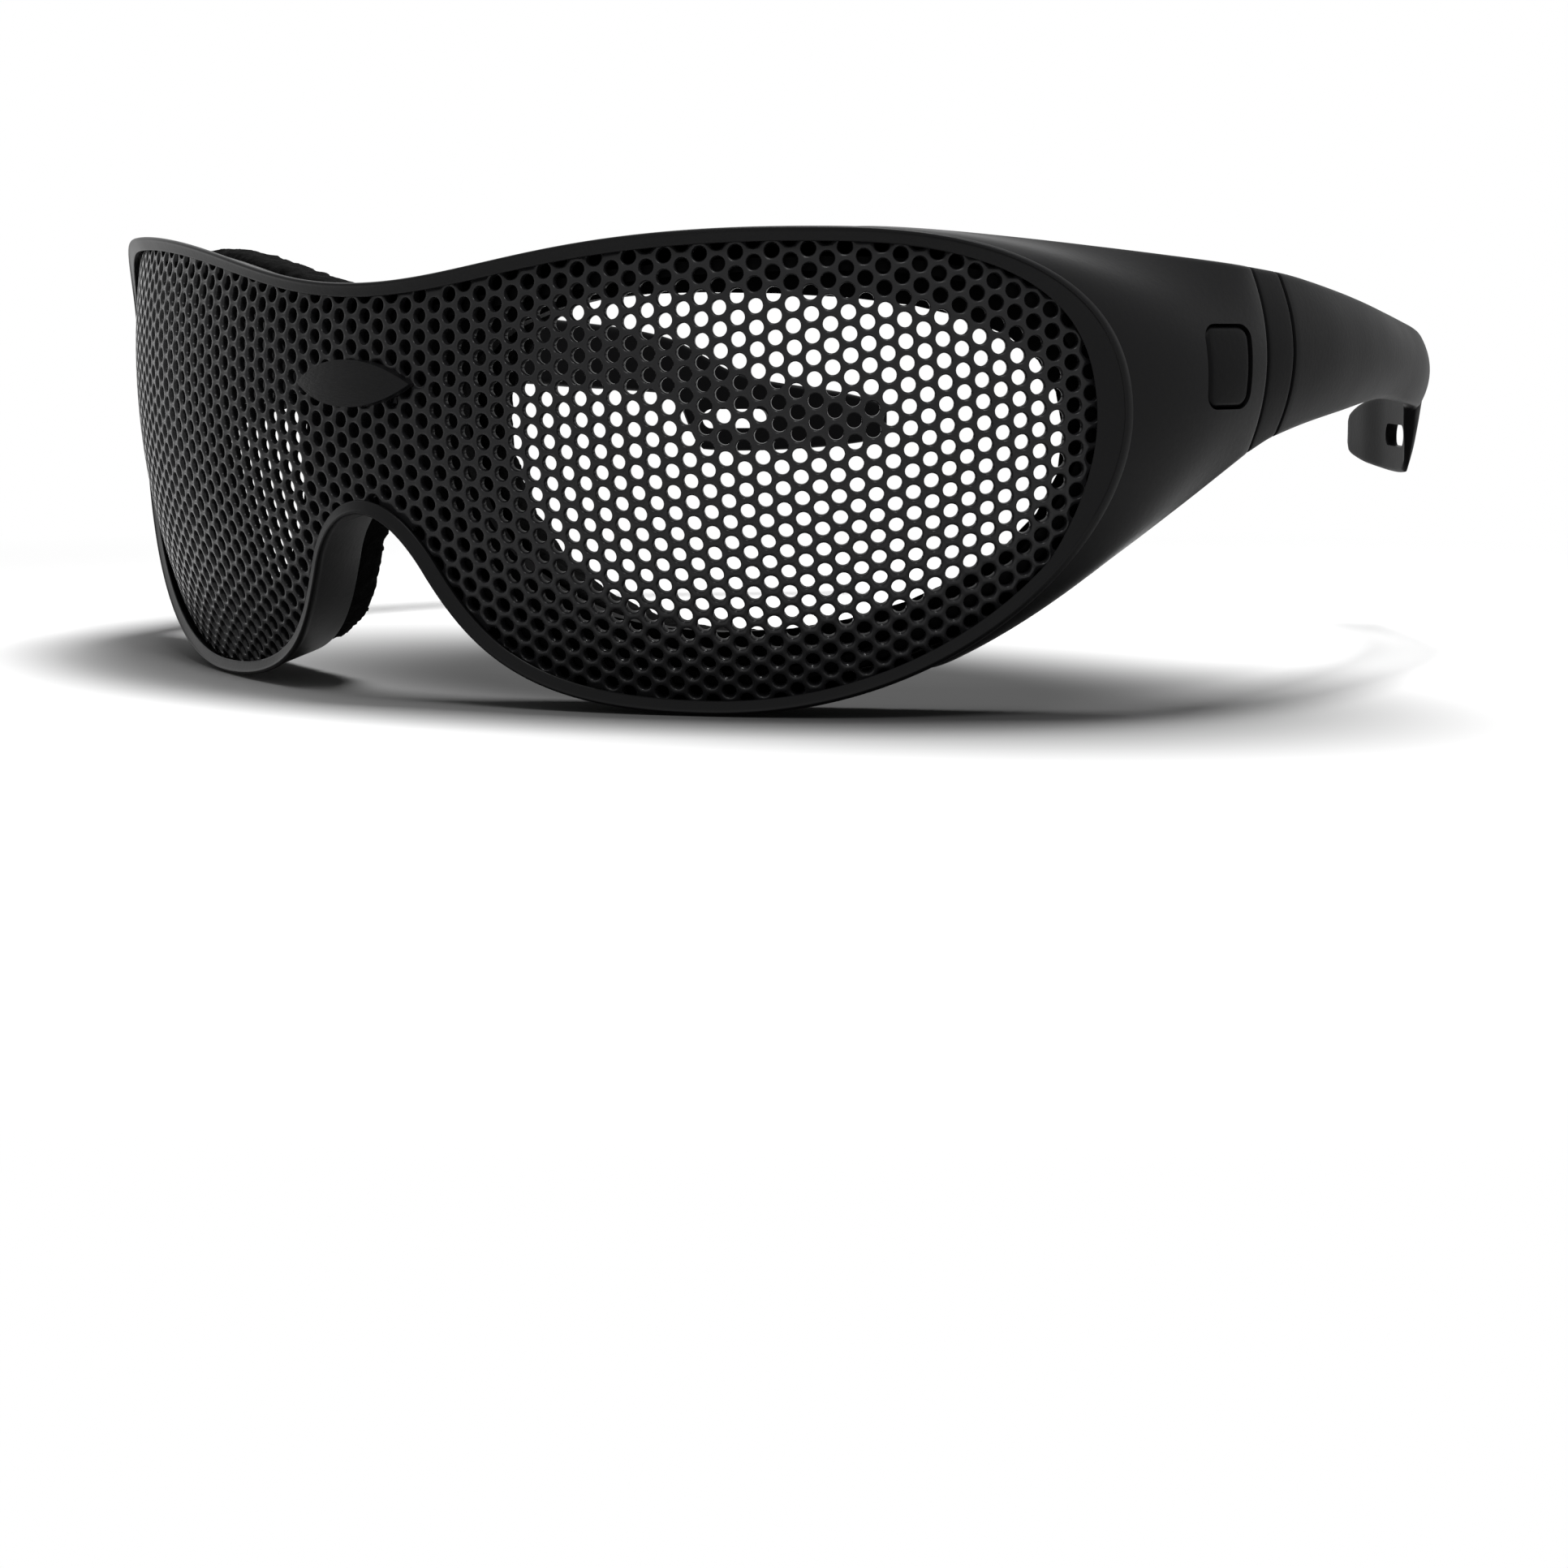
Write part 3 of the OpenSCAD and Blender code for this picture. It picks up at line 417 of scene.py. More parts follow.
def build_screen():
    col = PITCH * math.sqrt(3) / 2
    edge = inset(OUTLINE, WALL_T + FIT)
    ct, st = math.cos(TILT), math.sin(TILT)

    def project(u, v, r):
        a, b = u / DOME_R, v / DOME_R
        x = np.cos(b) * np.sin(a)
        y = -np.cos(b) * np.cos(a)
        z = np.sin(b)
        return np.stack([x * r, (y * ct - z * st) * r, (y * st + z * ct) * r + DOME_Z], 1)

    nseg = 24
    ring = [(math.cos(2 * math.pi * i / nseg), math.sin(2 * math.pi * i / nseg)) for i in range(nseg)]
    # the cell's corners lie at 0, 60, 120 ... degrees, so its flat sides face up and down
    border = []
    for cx, cy in ring:
        ang = math.atan2(cy, cx) % (math.pi / 3) - math.pi / 6
        k = (PITCH / 2) / math.cos(ang)
        border.append((cx * k, cy * k))
    verts, faces = [], []
    keep = {}

    def vid(u, v, r):
        key = (round(u, 4), round(v, 4), r)
        if key not in keep:
            keep[key] = len(verts)
            verts.append((u, v, r))
        return keep[key]

    cols = 50
    for c in range(-cols, cols + 1):
        for k in range(-24, 25):
            u = c * col + LAT_U
            v = k * PITCH + LAT_V + (PITCH / 2 if c % 2 else 0)
            if abs(u) > 118 or abs(v) > 58:
                continue
            p = project(np.array([u]), np.array([v]), DOME_R)[0]
            if p[1] > -40:
                continue
            q = np.array([[p[0], p[2]]])
            d = nearest(edge, q)[1][0]
            ins = inside(edge, q)[0]
            if not ins and d > 1.6:
                continue
            open_hole = ins or d < 0.3
            out = [vid(u + bx, v + by, 0) for bx, by in border]
            back = [vid(u + bx, v + by, 1) for bx, by in border]
            if open_hole:
                r0 = HOLE_D / 2 + ROLL
                r1 = HOLE_D / 2
                f0 = [vid(u + x * r0, v + y * r0, 0) for x, y in ring]
                f1 = [vid(u + x * r1, v + y * r1, 2) for x, y in ring]
                f2 = [vid(u + x * r1, v + y * r1, 1) for x, y in ring]
                for i in range(nseg):
                    j = (i + 1) % nseg
                    faces.append((out[i], out[j], f0[j], f0[i]))
                    faces.append((f0[i], f0[j], f1[j], f1[i]))
                    faces.append((f1[i], f1[j], f2[j], f2[i]))
                    faces.append((f2[i], f2[j], back[j], back[i]))
            else:
                faces.append(tuple(out))
                faces.append(tuple(reversed(back)))
    uv = np.array([(a, b) for a, b, _ in verts])
    kind = np.array([r for _, _, r in verts])
    rad = np.where(kind == 0, DOME_R, np.where(kind == 1, DOME_R - SHEET_T, DOME_R - ROLL))
    p3 = project(uv[:, 0], uv[:, 1], 1.0)
    p3[:, 2] -= DOME_Z
    xz = np.stack([p3[:, 0] * rad, p3[:, 2] * rad + DOME_Z], 1)
    outside = ~inside(edge, xz)
    xz[outside] = nearest(edge, xz[outside])[0]
    y = -np.sqrt(rad * rad - xz[:, 0] ** 2 - (xz[:, 1] - DOME_Z) ** 2) + SHIFT_Y
    pos = np.stack([xz[:, 0], y, xz[:, 1]], 1) * MM
    good = []
    for f in faces:
        idx = list(dict.fromkeys(f))
        if len(idx) >= 3 and not all(outside[i] for i in idx):
            good.append(idx)
    o = new_mesh("screen_perforated", pos, good)
    split_edges(o, 50)
    return o


screen = build_screen()
paint(screen, "screen")
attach(screen, "mask")
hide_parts("mesh_screen")


def bead_share(p):
    up = np.maximum(0, 1 - ((p[:, 1] - SIDE_Z - 1.5) / (0.35 * MASK_H)) ** 2)
    out = np.clip((np.abs(p[:, 0]) - 0.62 * HALF_W) / (0.19 * HALF_W), 0, 1)
    return up * out


def build_rim():
    """The bead with its crease and the wall behind it, swept round the outline."""
    line = make_outline(72)
    inner, bead = inward(line), BEAD_W + BEAD_MORE * bead_share(line)
    rear = WALL_T + WALL_LEAN + 0.35
    section = [(0.2, 1.8, 0, 0), (0.32, 1.78, 0, 0), (0.43, 1.7, 0, 0), (0.52, 1.6, 0, 0), (0.68, 1.5, 0, 0),
               (-0.25, 1.02, 0, 1), (-0.08, 0.94, 0, 1),
               (0, 0.82, 0, 1), (-0.02, 0.62, 0, 1), (-0.2, 0.3, 0, 1), (WALL_T, 0.3, 0, 0),
               (WALL_T, 0.3, 3, 0), (rear - 0.1, 0.3, WALL_D - 0.8, 0), (rear, 0.3, WALL_D, 0),
               (WALL_LEAN + 0.2, 0.3, WALL_D, 0), (WALL_LEAN - 0.05, 0.36, WALL_D - 0.25, 0),
               (0.4, 1.5, 1.4, 0), (0.16, 1.5, 0.8, 0), (0.02, 1.52, 0.45, 0), (-0.02, 1.6, 0.2, 0),
               (0.03, 1.7, 0.07, 0), (0.1, 1.77, 0.02, 0)]
    rings = []
    for s, h, d, f in section:
        p = line + (s + f * bead)[:, None] * inner
        y = d - np.sqrt((DOME_R + h) ** 2 - p[:, 0] ** 2 - (p[:, 1] - DOME_Z) ** 2)
        rings.append(np.stack([p[:, 0], y, p[:, 1]], 1))
    m, n = len(section), len(line)
    v = (np.stack(rings, 1).reshape(-1, 3) + [0, SHIFT_Y, 0]) * MM
    faces = [(i * m + k, i * m + (k + 1) % m, (i + 1) % n * m + (k + 1) % m, (i + 1) % n * m + k)
             for i in range(n) for k in range(m)]
    o = new_mesh("rim", v, faces)
    tidy_normals(o)
    edge = WALL_D - math.sqrt((DOME_R + 0.3) ** 2 - (NOSE_H - DOME_Z) ** 2)
    cut(o, [block("relief", (-5.6, edge - 3, NOSE_H - 4), (5.6, edge + 3, NOSE_H + 5.1))])
    return o


SMOOTH = 8
WING_M = 14 * SMOOTH
WING_LINE = make_outline(9 * SMOOTH)
WING_ROOT = (WING_LINE + 0.1 * inward(WING_LINE))[10 * SMOOTH:10 * SMOOTH + WING_M + 1]
WING_W = 1 - 2 * np.arange(WING_M + 1) / WING_M
WING_A = np.stack([WING_ROOT[:, 0], -np.sqrt((DOME_R + BEAD_H - 0.1) ** 2 - WING_ROOT[:, 0] ** 2
                                             - (WING_ROOT[:, 1] - DOME_Z) ** 2), WING_ROOT[:, 1]], 1)
WING_B = np.array([side_point(0, w, 0) for w in WING_W])
PULL = 1.18 * WING_L
WING_TA = PULL * unit(np.stack([0.5 * (1 - 0.5 * WING_W ** 2), np.ones(WING_M + 1),
                                np.where(WING_W > 0, 0.15, 0.08) * WING_W], 1))
WING_TB = PULL * unit(np.stack([np.full(WING_M + 1, 0.08), np.ones(WING_M + 1),
                                np.where(WING_W > 0, -0.12, -0.43) * WING_W], 1))


def wing_row(u):
    return ((2 * u ** 3 - 3 * u ** 2 + 1) * WING_A + (u ** 3 - 2 * u ** 2 + u) * WING_TA
            + (3 * u ** 2 - 2 * u ** 3) * WING_B + (u ** 3 - u ** 2) * WING_TB)


def wing_normal(u):
    along = wing_row(min(1, u + 0.02)) - wing_row(max(0, u - 0.02))
    return unit(np.cross(np.gradient(wing_row(u), axis=0), along))


def wing_x(y, z):
    """Where the wing's outer face lies at a height and depth, from a fit round the button."""
    q = np.concatenate([wing_row(u)[30:86:4] for u in np.linspace(0.3, 1, 15)])
    t = [(a, b) for a in range(4) for b in range(4)]
    m = np.stack([((q[:, 1] - BUTTON_Y) / 10) ** a * ((q[:, 2] - SIDE_MID) / 10) ** b for a, b in t], 1)
    k = np.linalg.lstsq(m, q[:, 0], rcond=None)[0]
    y, z = (y - BUTTON_Y) / 10, (z - SIDE_MID) / 10
    return sum(c * y ** a * z ** b for c, (a, b) in zip(k, t))


BUTTON_Y = wing_row(0.7)[WING_M // 2][1]
BUTTON_Z = SIDE_MID - 0.6


def button_loop(grow, n=8):
    """Outline of the button's rounded rectangle in depth and height."""
    w, h, r = BUTTON_W / 2 + grow, BUTTON_H / 2 + grow, 0.22 * BUTTON_W + grow
    pts = []
    for i, (cy, cz) in enumerate(((w - r, h - r), (r - w, h - r), (r - w, r - h), (w - r, r - h))):
        for j in range(n + 1):
            a = math.radians(90 * i + 90 * j / n)
            pts.append((BUTTON_Y + cy + r * math.cos(a), BUTTON_Z + cz + r * math.sin(a)))
    out = []
    for i, p in enumerate(pts):
        q = pts[(i + 1) % len(pts)]
        k = max(1, int(math.dist(p, q) / 0.7))
        out += [(mix(p[0], q[0], j / k), mix(p[1], q[1], j / k)) for j in range(k)]
    return np.array(out)


def prism_x(name, loop, x0, x1):
    ring = np.stack([np.zeros(len(loop)), loop[:, 0], loop[:, 1]], 1)
    return loft(name, [ring + [x0, 0, 0], ring + [x1, 0, 0]])


TONGUE_X0, TONGUE_X1, TONGUE_H = PIN_X - 4.2, PIN_X + 1.1, BUTTON_H + 2.6
TONGUE_FRONT = BUTTON_Y - BUTTON_W / 2 - 1.9


def build_wing():
    r = 0.2
    steps = [i / 40 for i in range(40) if i / 40 < 1 - r / WING_L]
    rows = []
    for u in steps + [None] * 6:
        if u is None:
            k = len(rows) - len(steps)
            th = math.pi / 2 * k / 5
            u = 1 - r * (1 - math.sin(th)) / WING_L
            inset_by = r * (1 - math.cos(th))
        else:
            inset_by = 0
        depth = mix(0.7 * WALL_T, WING_T, min(1, max(0, 3 * u - 0.4)))
        face, nrm = wing_row(u), wing_normal(u)
        back = (face - depth * nrm)[::-1]
        runs = [face, np.array([face[-1], back[0]]), back, np.array([back[-1], face[0]])]
        loop = rounded(runs, min(0.8, 0.42 * depth), (90, 3, 60, 3))
        if inset_by:
            loop = shrunk(loop, (0, 1, 0), inset_by)
        rows.append(loop)
    rows[-1][:, 1] = WING_END
    o = loft("wing", rows)
    window = prism_x("window", button_loop(0.3), TONGUE_X1 - 1, SIDE_X + 3)
    cut(o, [window])
    return o


def under_face(name, sink):
    """Everything inside a crowned face that lies sink under the wing's, along the button's turn."""
    at = wing_row(0.7)[WING_M // 2]
    run = wing_row(0.85)[WING_M // 2] - wing_row(0.5)[WING_M // 2]
    turn = math.atan2(run[0], run[1])
    r = SIDE_H ** 2 / (8 * SIDE_CROWN)
    a = 2 * math.pi * np.arange(160) / 160
    x = -sink - r + r * np.cos(a)
    loops = []
    for y in (-28, 28):
        loops.append(np.stack([at[0] + x * math.cos(turn) + y * math.sin(turn),
                               at[1] - x * math.sin(turn) + y * math.cos(turn),
                               SIDE_MID + r * np.sin(a)], 1))
    return loft(name, loops)


def build_socket():
    """The housing inside the wing, with the room for the hinge block's tongue."""
    x0, z0, z1 = TONGUE_X0 - 1.3, BUTTON_Z - TONGUE_H / 2 - 1.2, BUTTON_Z + TONGUE_H / 2 + 1.2
    o = block("socket", (x0, TONGUE_FRONT - 1.2, z0), (SIDE_X - 1.2, WING_END - 0.1, z1), 0.4)
    cut(o, [under_face("under", 1.7)], "INTERSECT")
    room = block("room", (TONGUE_X0 - 0.1, TONGUE_FRONT - 0.1, BUTTON_Z - TONGUE_H / 2 - 0.1),
                 (TONGUE_X1 + 0.1, WING_END + 9, BUTTON_Z + TONGUE_H / 2 + 0.1))
    cut(room, [under_face("under", 1.8)], "INTERSECT")
    window = prism_x("window", button_loop(0.3), TONGUE_X1 - 1, SIDE_X + 3)
    cut(o, [room, window])
    return o


wing = build_wing()
socket = build_socket()
frame_piece = joined("frame_moulded", [build_rim(), mirrored("w", wing), mirrored("s", socket),
                                       wing, socket])
split_edges(frame_piece, SHARP)
paint(frame_piece, "frame")
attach(frame_piece, "mask")
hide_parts("front_frame")


def side_rows(start, stop, end_t, n, r):
    """Sections of the side from the plane at start to t, or the plane at stop, ends rounded."""
    r, far_r = r
    ys = np.linspace(0, end_t, 400)
    path = np.array([side_frame(t)[0][1] for t in ys])

    def t_at(y):
        return float(np.interp(y, path, ys))

    rows = []
    for k in range(6):
        th = math.pi / 2 * k / 5
        y = start + r * (1 - math.cos(th))
        loop = shrunk(side_loop(t_at(y), 1.0), (0, 1, 0), r * (1 - math.sin(th)) + 1e-4)
        loop[:, 1] = y
        rows.append(loop)
    if stop is not None:
        for y in np.linspace(start + r, stop - far_r, n)[1:-1]:
            loop = side_loop(t_at(y), 1.0)
            loop[:, 1] = y
            rows.append(loop)
        for k in range(6):
            th = math.pi / 2 * (1 - k / 5)
            y = stop - far_r * (1 - math.cos(th))
            loop = shrunk(side_loop(t_at(y), 1.0), (0, 1, 0), far_r * (1 - math.sin(th)) + 1e-4)
            loop[:, 1] = y
            rows.append(loop)
        return rows
    t0 = t_at(start + r)
    # the sections turn from the seam's plane to the side's own heading over the first stations
    for i, t in enumerate(np.linspace(t0, end_t, n)[1:]):
        loop = side_loop(t, 1.0 if t < 1 else 0.6)
        lean = max(0, 1 - i / 6)
        loop[:, 1] = mix(loop[:, 1], side_frame(t)[0][1], lean)
        rows.append(loop)
    return rows


def build_arm():
    rows = side_rows(SEAM_Y + GAP, None, 1.0, 66, (0.35, 0))
    for t in np.linspace(1, 2, 32)[1:]:
        rows.append(side_loop(t, 0.6))
    last = rows.pop()
    rows.append(shrunk(last, (*TIP_DIR, 0), 0.15))
    rows.append(shrunk(last, (*TIP_DIR, 0), 0.5) + np.array([*TIP_DIR, 0]) * 0.2)
    o = loft("arm", rows)
    at = side_point(1 + (SLOT_EDGE + SLOT_L / 2) / CURL, 0, 0)
    n = 24
    slot_r = SLOT_W / 2
    half = (SLOT_L - SLOT_W) / 2
    ring = []
    for i in range(2 * n):
        a = math.pi * (i - 0.5 * n + 0.5) / n
        ring.append((slot_r * math.cos(a) + (half if math.cos(a) > 0 else -half), slot_r * math.sin(a)))
    across = np.array([math.cos(BEND_ANGLE), math.sin(BEND_ANGLE)])

    def slot_ring(depth):
        pts = []
        for u, v in ring:
            p = at[:2] + TIP_DIR * u - across * depth
            pts.append((p[0], p[1], TIP_LOW + SLOT_UP + v))
        return np.array(pts)

    slot_cut = loft("slot", [slot_ring(-4), slot_ring(9)])
    low, high, front = HINGE_Z - 7.4, HINGE_Z + 7.4, PIN_Y - 7.2
    tools = [rod("a", PIN_X, PIN_Y, low, high, EAR_ROOM),
             block("b", (PIN_X - SIDE_T, front, low), (PIN_X, PIN_Y + EAR_ROOM, high)),
             block("c", (PIN_X - SIDE_T, front, 0), (PIN_X, PIN_Y, MASK_H)), slot_cut]
    cut(o, tools)
    k = KNUCKLE_H / 2
    knuckle = rod("k", PIN_X, PIN_Y, HINGE_Z - k, HINGE_Z + k, EAR_R)
    arm_root = block("k2", (PIN_X, PIN_Y, HINGE_Z - k), (PIN_X + 4, PIN_Y + 4, HINGE_Z + k))
    for o_k in (knuckle, arm_root):
        cut(o_k, [rod("p", PIN_X, PIN_Y, HINGE_Z - 8, HINGE_Z + 8, HOLE_R)])
    return joined("arm", [o, knuckle, arm_root])


def build_block():
    collar = loft("collar", side_rows(WING_END + 0.1, SEAM_Y - GAP, 0.3, 10, (0.6, 0.45)))
    tongue = block("tongue", (TONGUE_X0, TONGUE_FRONT, BUTTON_Z - TONGUE_H / 2),
                   (TONGUE_X1, WING_END + 3.6, BUTTON_Z + TONGUE_H / 2), 0.3)
    cut(tongue, [under_face("under", 1.9)], "INTERSECT")
    flange = TONGUE_X1 - 0.2
    cut(tongue, [block("r", (flange - 2.4, BUTTON_Y - BUTTON_W / 2 - 1.4, BUTTON_Z - BUTTON_H / 2 - 0.4),
                       (SIDE_X, BUTTON_Y + BUTTON_W / 2 + 1.4, BUTTON_Z + BUTTON_H / 2 + 0.4)),
                 block("r2", (TONGUE_X0 + 1, BUTTON_Y - 4, BUTTON_Z - 2.4),
                       (SIDE_X, BUTTON_Y + 4, BUTTON_Z + 2.4))])
    parts = [collar, tongue]
    ear_h = (HINGE_H - KNUCKLE_H) / 2 - 0.3
    for z in (HINGE_Z - HINGE_H / 2, HINGE_Z + HINGE_H / 2 - ear_h):
        parts.append(rod("e", PIN_X, PIN_Y, z, z + ear_h, EAR_R))
        parts.append(block("f", (PIN_X - EAR_R, SEAM_Y - 1.8, z), (PIN_X, PIN_Y, z + ear_h), 0.2))
    return joined("block", parts)


def build_button():
    """The button's crowned face with rounded edges, its sides and the flange behind."""
    flange = TONGUE_X1 - 0.2
    loop, r = button_loop(0), 0.6
    rings = [np.stack([np.full(len(loop), flange - 0.5), loop[:, 0], loop[:, 1]], 1)]
    for k in range(7):
        th = math.pi / 2 * k / 6
        p = button_loop(-r * (1 - math.cos(th)))
        x = wing_x(p[:, 0], p[:, 1]) - 0.1 - r * (1 - math.sin(th))
        rings.append(np.stack([x, p[:, 0], p[:, 1]], 1))
    mid = np.array([BUTTON_Y, BUTTON_Z])
    top = button_loop(-r)
    for k in (0.85, 0.7, 0.55, 0.4, 0.25, 0.1):
        p = mid + k * (top - mid)
        rings.append(np.stack([wing_x(p[:, 0], p[:, 1]) - 0.1, p[:, 0], p[:, 1]], 1))
    o = loft("face", rings)
    plate = block("plate", (flange - 1, BUTTON_Y - BUTTON_W / 2 - 1, BUTTON_Z - BUTTON_H / 2),
                  (flange, BUTTON_Y + BUTTON_W / 2 + 1, BUTTON_Z + BUTTON_H / 2), 0.15)
    return joined("button", [o, plate])


def both_sides(build, name, node, key, bodies):
    right = build()
    right.name = f"{name}_right"
    left = mirrored(f"{name}_left", right)
    for o, side in ((right, "right"), (left, "left")):
        split_edges(o, SHARP)
        paint(o, key)
        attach(o, bodies.format(side))
        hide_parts(f"{node}_{side}")


both_sides(build_arm, "arm_moulded", "arm", "arm", "arm_{}")
both_sides(build_block, "block_moulded", "hinge_block", "block", "mask")
both_sides(build_button, "button_moulded", "release_button", "button", "release_button_{}")


def build_foam():
    """The gasket's space remeshed, its edges rounded by smoothing and its skin roughened."""
    me = nodes["face_gasket"].data.copy()
    o = bpy.data.objects.new("gasket_foam", me)
    bpy.context.scene.collection.objects.link(o)
    with bpy.context.temp_override(object=o, active_object=o, selected_objects=[o]):
        bpy.ops.mesh.customdata_custom_splitnormals_clear()
    w = o.modifiers.new("weld", "WELD")
    w.merge_threshold = 0.00001
    m = o.modifiers.new("remesh", "REMESH")
    m.mode, m.voxel_size = "VOXEL", 0.0007
    sm = o.modifiers.new("smooth", "SMOOTH")
    sm.factor, sm.iterations = 0.5, 8
    settle(o)
    me = o.data
    n = len(me.vertices)
    co, no = np.zeros(n * 3), np.zeros(n * 3)
    me.vertices.foreach_get("co", co)
    me.vertices.foreach_get("normal", no)
    co, no = co.reshape(-1, 3), no.reshape(-1, 3)
    swell = np.array([0.28 + 0.22 * noise.noise(Vector(p) * 700) + 0.16 * noise.noise(Vector(p) * 1700)
                      for p in co])
    co = co + no * (swell * MM)[:, None]
    # over the nose the foam rises a little higher than the brow of the frame
    rise = np.clip(1.6 - 1.6 * (co[:, 0] / 0.066) ** 2, 0, 1) * np.clip((co[:, 2] - 0.040) / 0.008, 0, 1)
    co[:, 2] += 0.0024 * rise
    me.vertices.foreach_set("co", co.ravel())
    me.update()
    return o


foam = build_foam()
paint(foam, "foam")
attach(foam, "mask")
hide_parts("face_gasket")

# Pieces shown as the part has them
for n, key, angle in (("inner_frame", "inner", 35), ("badge", "badge", 30), ("badge_clip", "steel", 30),
                      ("hinge_pin_left", "steel", 30), ("hinge_pin_right", "steel", 30),
                      ("button_spring_left", "steel", 30), ("button_spring_right", "steel", 30)):
    paint(nodes[n], key)
    soften(nodes[n], angle)

# Camera
scene = bpy.context.scene
cam_data = bpy.data.cameras.new("camera")
cam_data.lens = 77.594
cam_data.sensor_width = 36.0
cam_data.clip_start = 0.01
cam_data.clip_end = 60
cam = bpy.data.objects.new("camera", cam_data)
cam.location = (0.28841, -0.383712, 0.04704)
cam.rotation_mode = "QUATERNION"
cam.rotation_quaternion = (0.7149312, 0.6233035, 0.2072773, 0.2395879)
scene.collection.objects.link(cam)
scene.camera = cam

floor = new_mesh("floor", [(-6, -6, -0.0002), (6, -6, -0.0002), (6, 6, -0.0002), (-6, 6, -0.0002)],
                 [(0, 1, 2, 3)], False)
# Rays that don't come from the camera, a reflection or glass meet a darker floor
fm = bpy.data.materials.new("floor")
fm.use_nodes = True
nt = fm.node_tree
fb = nt.nodes["Principled BSDF"]
fb.inputs["Base Color"].default_value = (0.15, 0.15, 0.15, 1)
fb.inputs["Roughness"].default_value = 0.9
out = nt.nodes["Material Output"]
lp = nt.nodes.new("ShaderNodeLightPath")
seen = nt.nodes.new("ShaderNodeBsdfDiffuse")
white = nt.nodes.new("ShaderNodeEmission")
white.inputs["Strength"].default_value = 1.0
# A painted shadow: a darker ellipse painted on the floor under the goggles. It isn't light and doesn't
# follow a pose
shade_at = nt.nodes.new("ShaderNodeMapping")
shade_at.inputs["Location"].default_value = (-0.022 / 0.115, 0.036 / 0.070, 0)
shade_at.inputs["Scale"].default_value = (1 / 0.115, 1 / 0.070, 0)
shade_len = nt.nodes.new("ShaderNodeVectorMath")
shade_len.operation = "LENGTH"
shade = nt.nodes.new("ShaderNodeMapRange")
shade.interpolation_type = "SMOOTHSTEP"
shade.inputs["From Min"].default_value = 0.35
shade.inputs["From Max"].default_value = 1.15
shade.inputs["To Min"].default_value = 0.10
shade.inputs["To Max"].default_value = 0.97
# Away from the object the floor turns plain white, by its distance from the middle
where = nt.nodes.new("ShaderNodeTexCoord")
dist = nt.nodes.new("ShaderNodeVectorMath")
dist.operation = "LENGTH"
fade = nt.nodes.new("ShaderNodeMapRange")
fade.interpolation_type = "SMOOTHSTEP"
fade.inputs["From Min"].default_value = 0.13
fade.inputs["From Max"].default_value = 0.30
far_mix = nt.nodes.new("ShaderNodeMixShader")
rays = nt.nodes.new("ShaderNodeMath")
rays.operation = "MAXIMUM"
sw = nt.nodes.new("ShaderNodeMixShader")
shown = nt.nodes.new("ShaderNodeMath")
shown.operation = "MAXIMUM"
nt.links.new(where.outputs["Object"], dist.inputs[0])
nt.links.new(where.outputs["Object"], shade_at.inputs["Vector"])
nt.links.new(shade_at.outputs["Vector"], shade_len.inputs[0])
nt.links.new(shade_len.outputs["Value"], shade.inputs["Value"])
# The painted shadow sets the colour of the floor that the camera sees
nt.links.new(shade.outputs["Result"], seen.inputs["Color"])
nt.links.new(dist.outputs["Value"], fade.inputs["Value"])
nt.links.new(fade.outputs["Result"], far_mix.inputs[0])
nt.links.new(seen.outputs["BSDF"], far_mix.inputs[1])
nt.links.new(white.outputs["Emission"], far_mix.inputs[2])
nt.links.new(lp.outputs["Is Camera Ray"], rays.inputs[0])
nt.links.new(lp.outputs["Is Transmission Ray"], rays.inputs[1])
nt.links.new(rays.outputs["Value"], shown.inputs[0])
nt.links.new(lp.outputs["Is Glossy Ray"], shown.inputs[1])
nt.links.new(shown.outputs["Value"], sw.inputs[0])
nt.links.new(fb.outputs["BSDF"], sw.inputs[1])
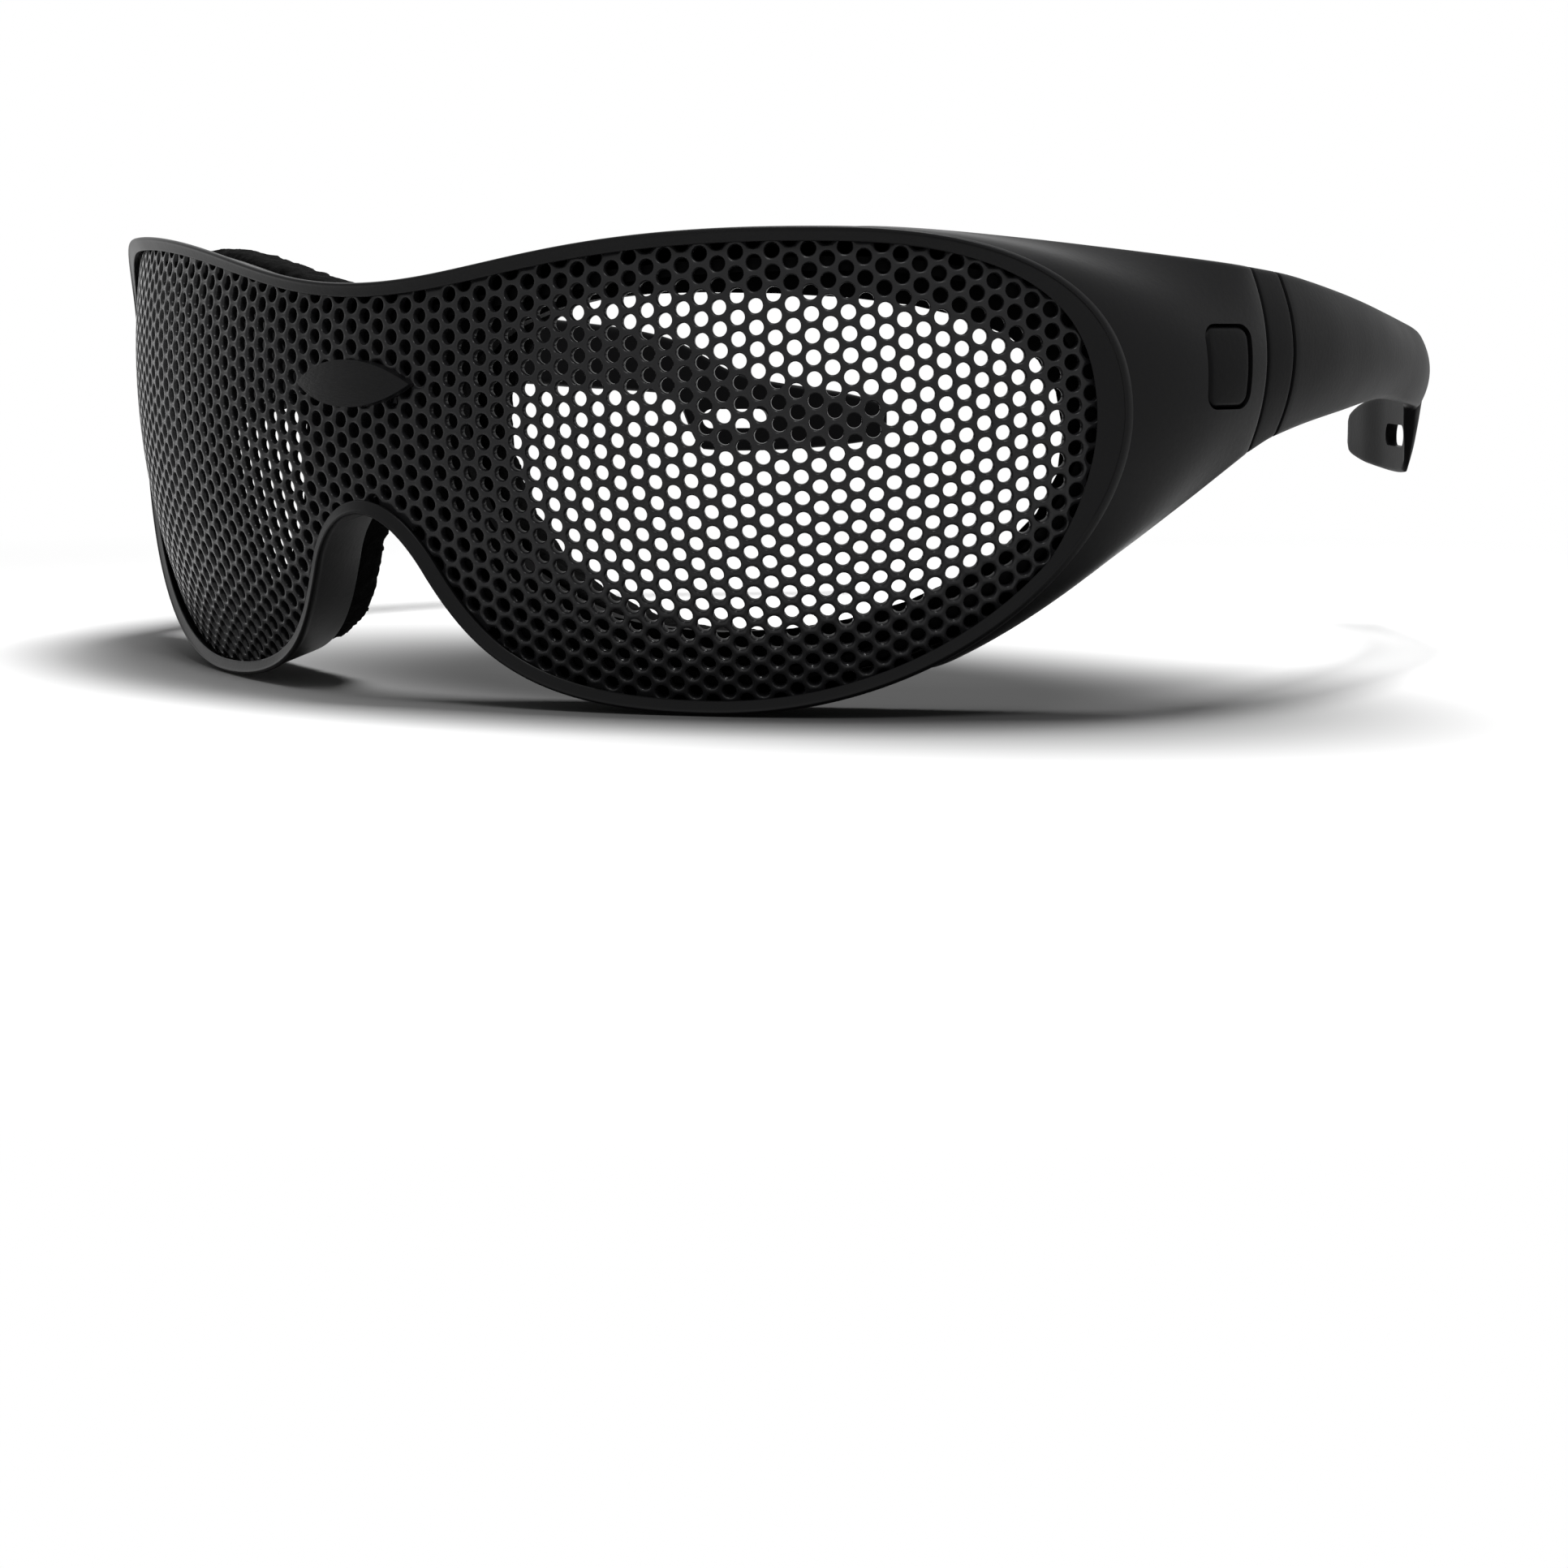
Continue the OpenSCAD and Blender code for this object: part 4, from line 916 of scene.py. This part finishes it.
nt.links.new(far_mix.outputs["Shader"], sw.inputs[2])
nt.links.new(sw.outputs["Shader"], out.inputs["Surface"])
floor.data.materials.append(fm)

# The world lights weakly and is seen, also in reflections, as white
world = bpy.data.worlds.new("world")
scene.world = world
world.use_nodes = True
wn = world.node_tree
bg = wn.nodes["Background"]
bg.inputs["Color"].default_value = (1, 1, 1, 1)
bg.inputs["Strength"].default_value = 0.13
pale = wn.nodes.new("ShaderNodeBackground")
pale.inputs["Color"].default_value = (1, 1, 1, 1)
pale.inputs["Strength"].default_value = 1.0
wl = wn.nodes.new("ShaderNodeLightPath")
wr = wn.nodes.new("ShaderNodeMath")
wr.operation = "MAXIMUM"
wm = wn.nodes.new("ShaderNodeMixShader")
wn.links.new(wl.outputs["Is Camera Ray"], wr.inputs[0])
wn.links.new(wl.outputs["Is Transmission Ray"], wr.inputs[1])
ws = wn.nodes.new("ShaderNodeMath")
ws.operation = "MAXIMUM"
wn.links.new(wr.outputs["Value"], ws.inputs[0])
wn.links.new(wl.outputs["Is Glossy Ray"], ws.inputs[1])
wn.links.new(ws.outputs["Value"], wm.inputs[0])
wn.links.new(bg.outputs["Background"], wm.inputs[1])
wn.links.new(pale.outputs["Background"], wm.inputs[2])
wn.links.new(wm.outputs["Shader"], wn.nodes["World Output"].inputs["Surface"])


def area(name, at, to, size_m, watts):
    d = bpy.data.lights.new(name, "AREA")
    d.shape = "RECTANGLE"
    d.size, d.size_y = size_m
    d.energy = watts
    o = bpy.data.objects.new(name, d)
    o.location = at
    o.rotation_mode = "QUATERNION"
    o.rotation_quaternion = (Vector(to) - Vector(at)).to_track_quat("-Z", "Y")
    scene.collection.objects.link(o)


area("key_top", (0.10, 0.0, 0.72), (0, -0.03, 0.0), (0.24, 0.24), 5.4)
area("rear_right", (0.62, 0.62, 0.30), (0.07, 0.0, 0.04), (0.35, 0.35), 0.3)
area("front_right", (0.32, -0.36, 0.62), (0.02, -0.05, 0.03), (0.22, 0.22), 1.5)

scene.view_settings.view_transform = "Standard"
